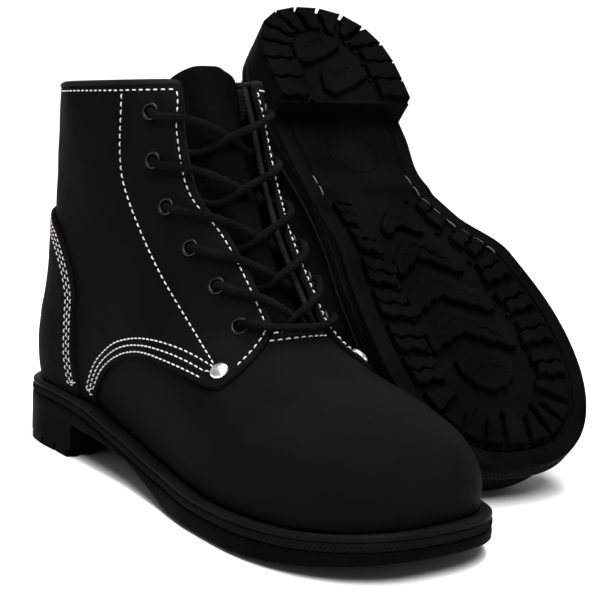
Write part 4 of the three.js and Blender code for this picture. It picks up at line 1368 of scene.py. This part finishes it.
def make_camera():
    data = bpy.data.cameras.new("camera")
    data.lens = LENS
    data.sensor_width = 36
    camera = bpy.data.objects.new("camera", data)
    turn = (CAMERA_TO - CAMERA_AT).to_track_quat("-Z", "Y").to_matrix()
    turn = turn @ Matrix.Rotation(CAMERA_ROLL, 3, "Z")
    camera.matrix_world = Matrix.Translation(CAMERA_AT) @ turn.to_4x4()
    bpy.context.scene.collection.objects.link(camera)
    bpy.context.scene.camera = camera


def make_stage():
    """Pale floor that sweeps up into a backdrop, square to the camera."""
    rows = [(FLOOR_FRONT, 0.0), (FLOOR_BACK, 0.0)]
    rows += [(FLOOR_BACK + SWEEP * math.sin(a), SWEEP - SWEEP * math.cos(a))
             for a in np.linspace(0.1, math.pi / 2, 12)]
    rows.append((FLOOR_BACK + SWEEP, BACKDROP_TOP))
    view = CAMERA_TO - CAMERA_AT
    view.z = 0
    view.normalize()
    side = Vector((-view.y, view.x, 0))
    vertices = [tuple(view * d + side * w + Vector((0, 0, z)))
                for d, z in rows for w in (-FLOOR_HALF_WIDTH, FLOOR_HALF_WIDTH)]
    mesh = bpy.data.meshes.new("floor")
    mesh.from_pydata(vertices, [], grid_faces(len(rows), 2))
    mesh.polygons.foreach_set("use_smooth", [True] * len(mesh.polygons))
    paint = material("floor_paint", (0.86, 0.86, 0.86), 0.9, 0.1)
    tint(paint, noise(paint, object_place(paint), 3, 2), (0.85, 0.85, 0.85), (0.87, 0.87, 0.87))
    mesh.materials.append(paint)
    floor = bpy.data.objects.new("floor", mesh)
    bpy.context.scene.collection.objects.link(floor)


def make_light(name, at, size, power):
    data = bpy.data.lights.new(name, "AREA")
    data.shape = "DISK"
    data.size = size
    data.energy = power
    light = bpy.data.objects.new(name, data)
    light.location = at
    light.rotation_euler = (LIGHTS_AIM - Vector(at)).to_track_quat("-Z", "Y").to_euler()
    bpy.context.scene.collection.objects.link(light)


def make_world():
    world = bpy.data.worlds.new("studio")
    bpy.context.scene.world = world
    world.use_nodes = True
    world.node_tree.nodes["Background"].inputs["Color"].default_value = (1, 1, 1, 1)
    world.node_tree.nodes["Background"].inputs["Strength"].default_value = WORLD_STRENGTH


make_camera()
make_world()
make_stage()
make_light("key", KEY_AT, KEY_SIZE, KEY_POWER)
make_light("top", TOP_AT, TOP_SIZE, TOP_POWER)
bpy.context.scene.view_settings.view_transform = "Standard"

# ------------------------------------------------------------------ the lace first, then the rest
lace, lace_path = lace_part()
make_both("lace", lace, LACE_CLOTH)
for side, tip in tip_parts(lace_path).items():
    word = "inner" if side > 0 else "outer"
    make_both(f"{word}_lace_tip", tip, TIP)

for side, word in ((-1, "outer"), (1, "inner")):
    make_both(f"{word}_quarter", quarter_part(side), LEATHER, sharp=50)
    make_both(f"{word}_eyelets", eyelet_parts(side), BLACK_METAL, [f"{word}_eyelet_row"])
    make_both(f"{word}_rivet", rivet_part(side), BRIGHT_METAL)
make_both("vamp", vamp_part(), LEATHER, sharp=50)
make_both("heel_pocket", pocket_part(), LEATHER, sharp=50)
make_both("collar_binding", binding_part(), EDGE)
make_both("tongue", tongue_part(), TONGUE, body="tongue")
rear_lining, front_lining = linings()
make_both("quarter_lining", rear_lining, LINING)
make_both("vamp_lining", front_lining, LINING)
make_both("welt", welt_part(), WELT)
make_both("outsole", sole_part(), RUBBER, sharp=38)
make_both("footbed", footbed_part(), FELT, sharp=50)

upper_rows = quarter_stitches(-1) + quarter_stitches(1)
collar_ends = {side: front_line(side)[0, 0] for side in (1, -1)}
collar_row = level_line(collar_ends[-1] - 1 + 0.012, collar_ends[1] - 0.012, 260, COLLAR_STITCH_LEVEL)
throat_rows = [throat_line(d)[3:-3] for d in THROAT_ROWS]
make_both("upper_stitches", joined([stitches(upper_rows + [collar_row], SEAT),
                                    stitches(pocket_stitches(), POCKET_SEAT, radius=0.28),
                                    stitches(throat_rows, 0.0)]), THREAD, [])
make_both("sole_stitches", sole_thread(), SOLE_THREAD, [])

for boot in SIDES:
    for name, paint in (("toe_cap", STEEL), ("shank", STEEL), ("puncture_plate", STEEL),
                        ("insole_board", BOARD), ("heel_stiffener", BOARD), ("cork_filler", CORK)):
        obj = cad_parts[f"{boot}_{name}"]
        obj.data.materials.clear()
        obj.data.materials.append(paint)
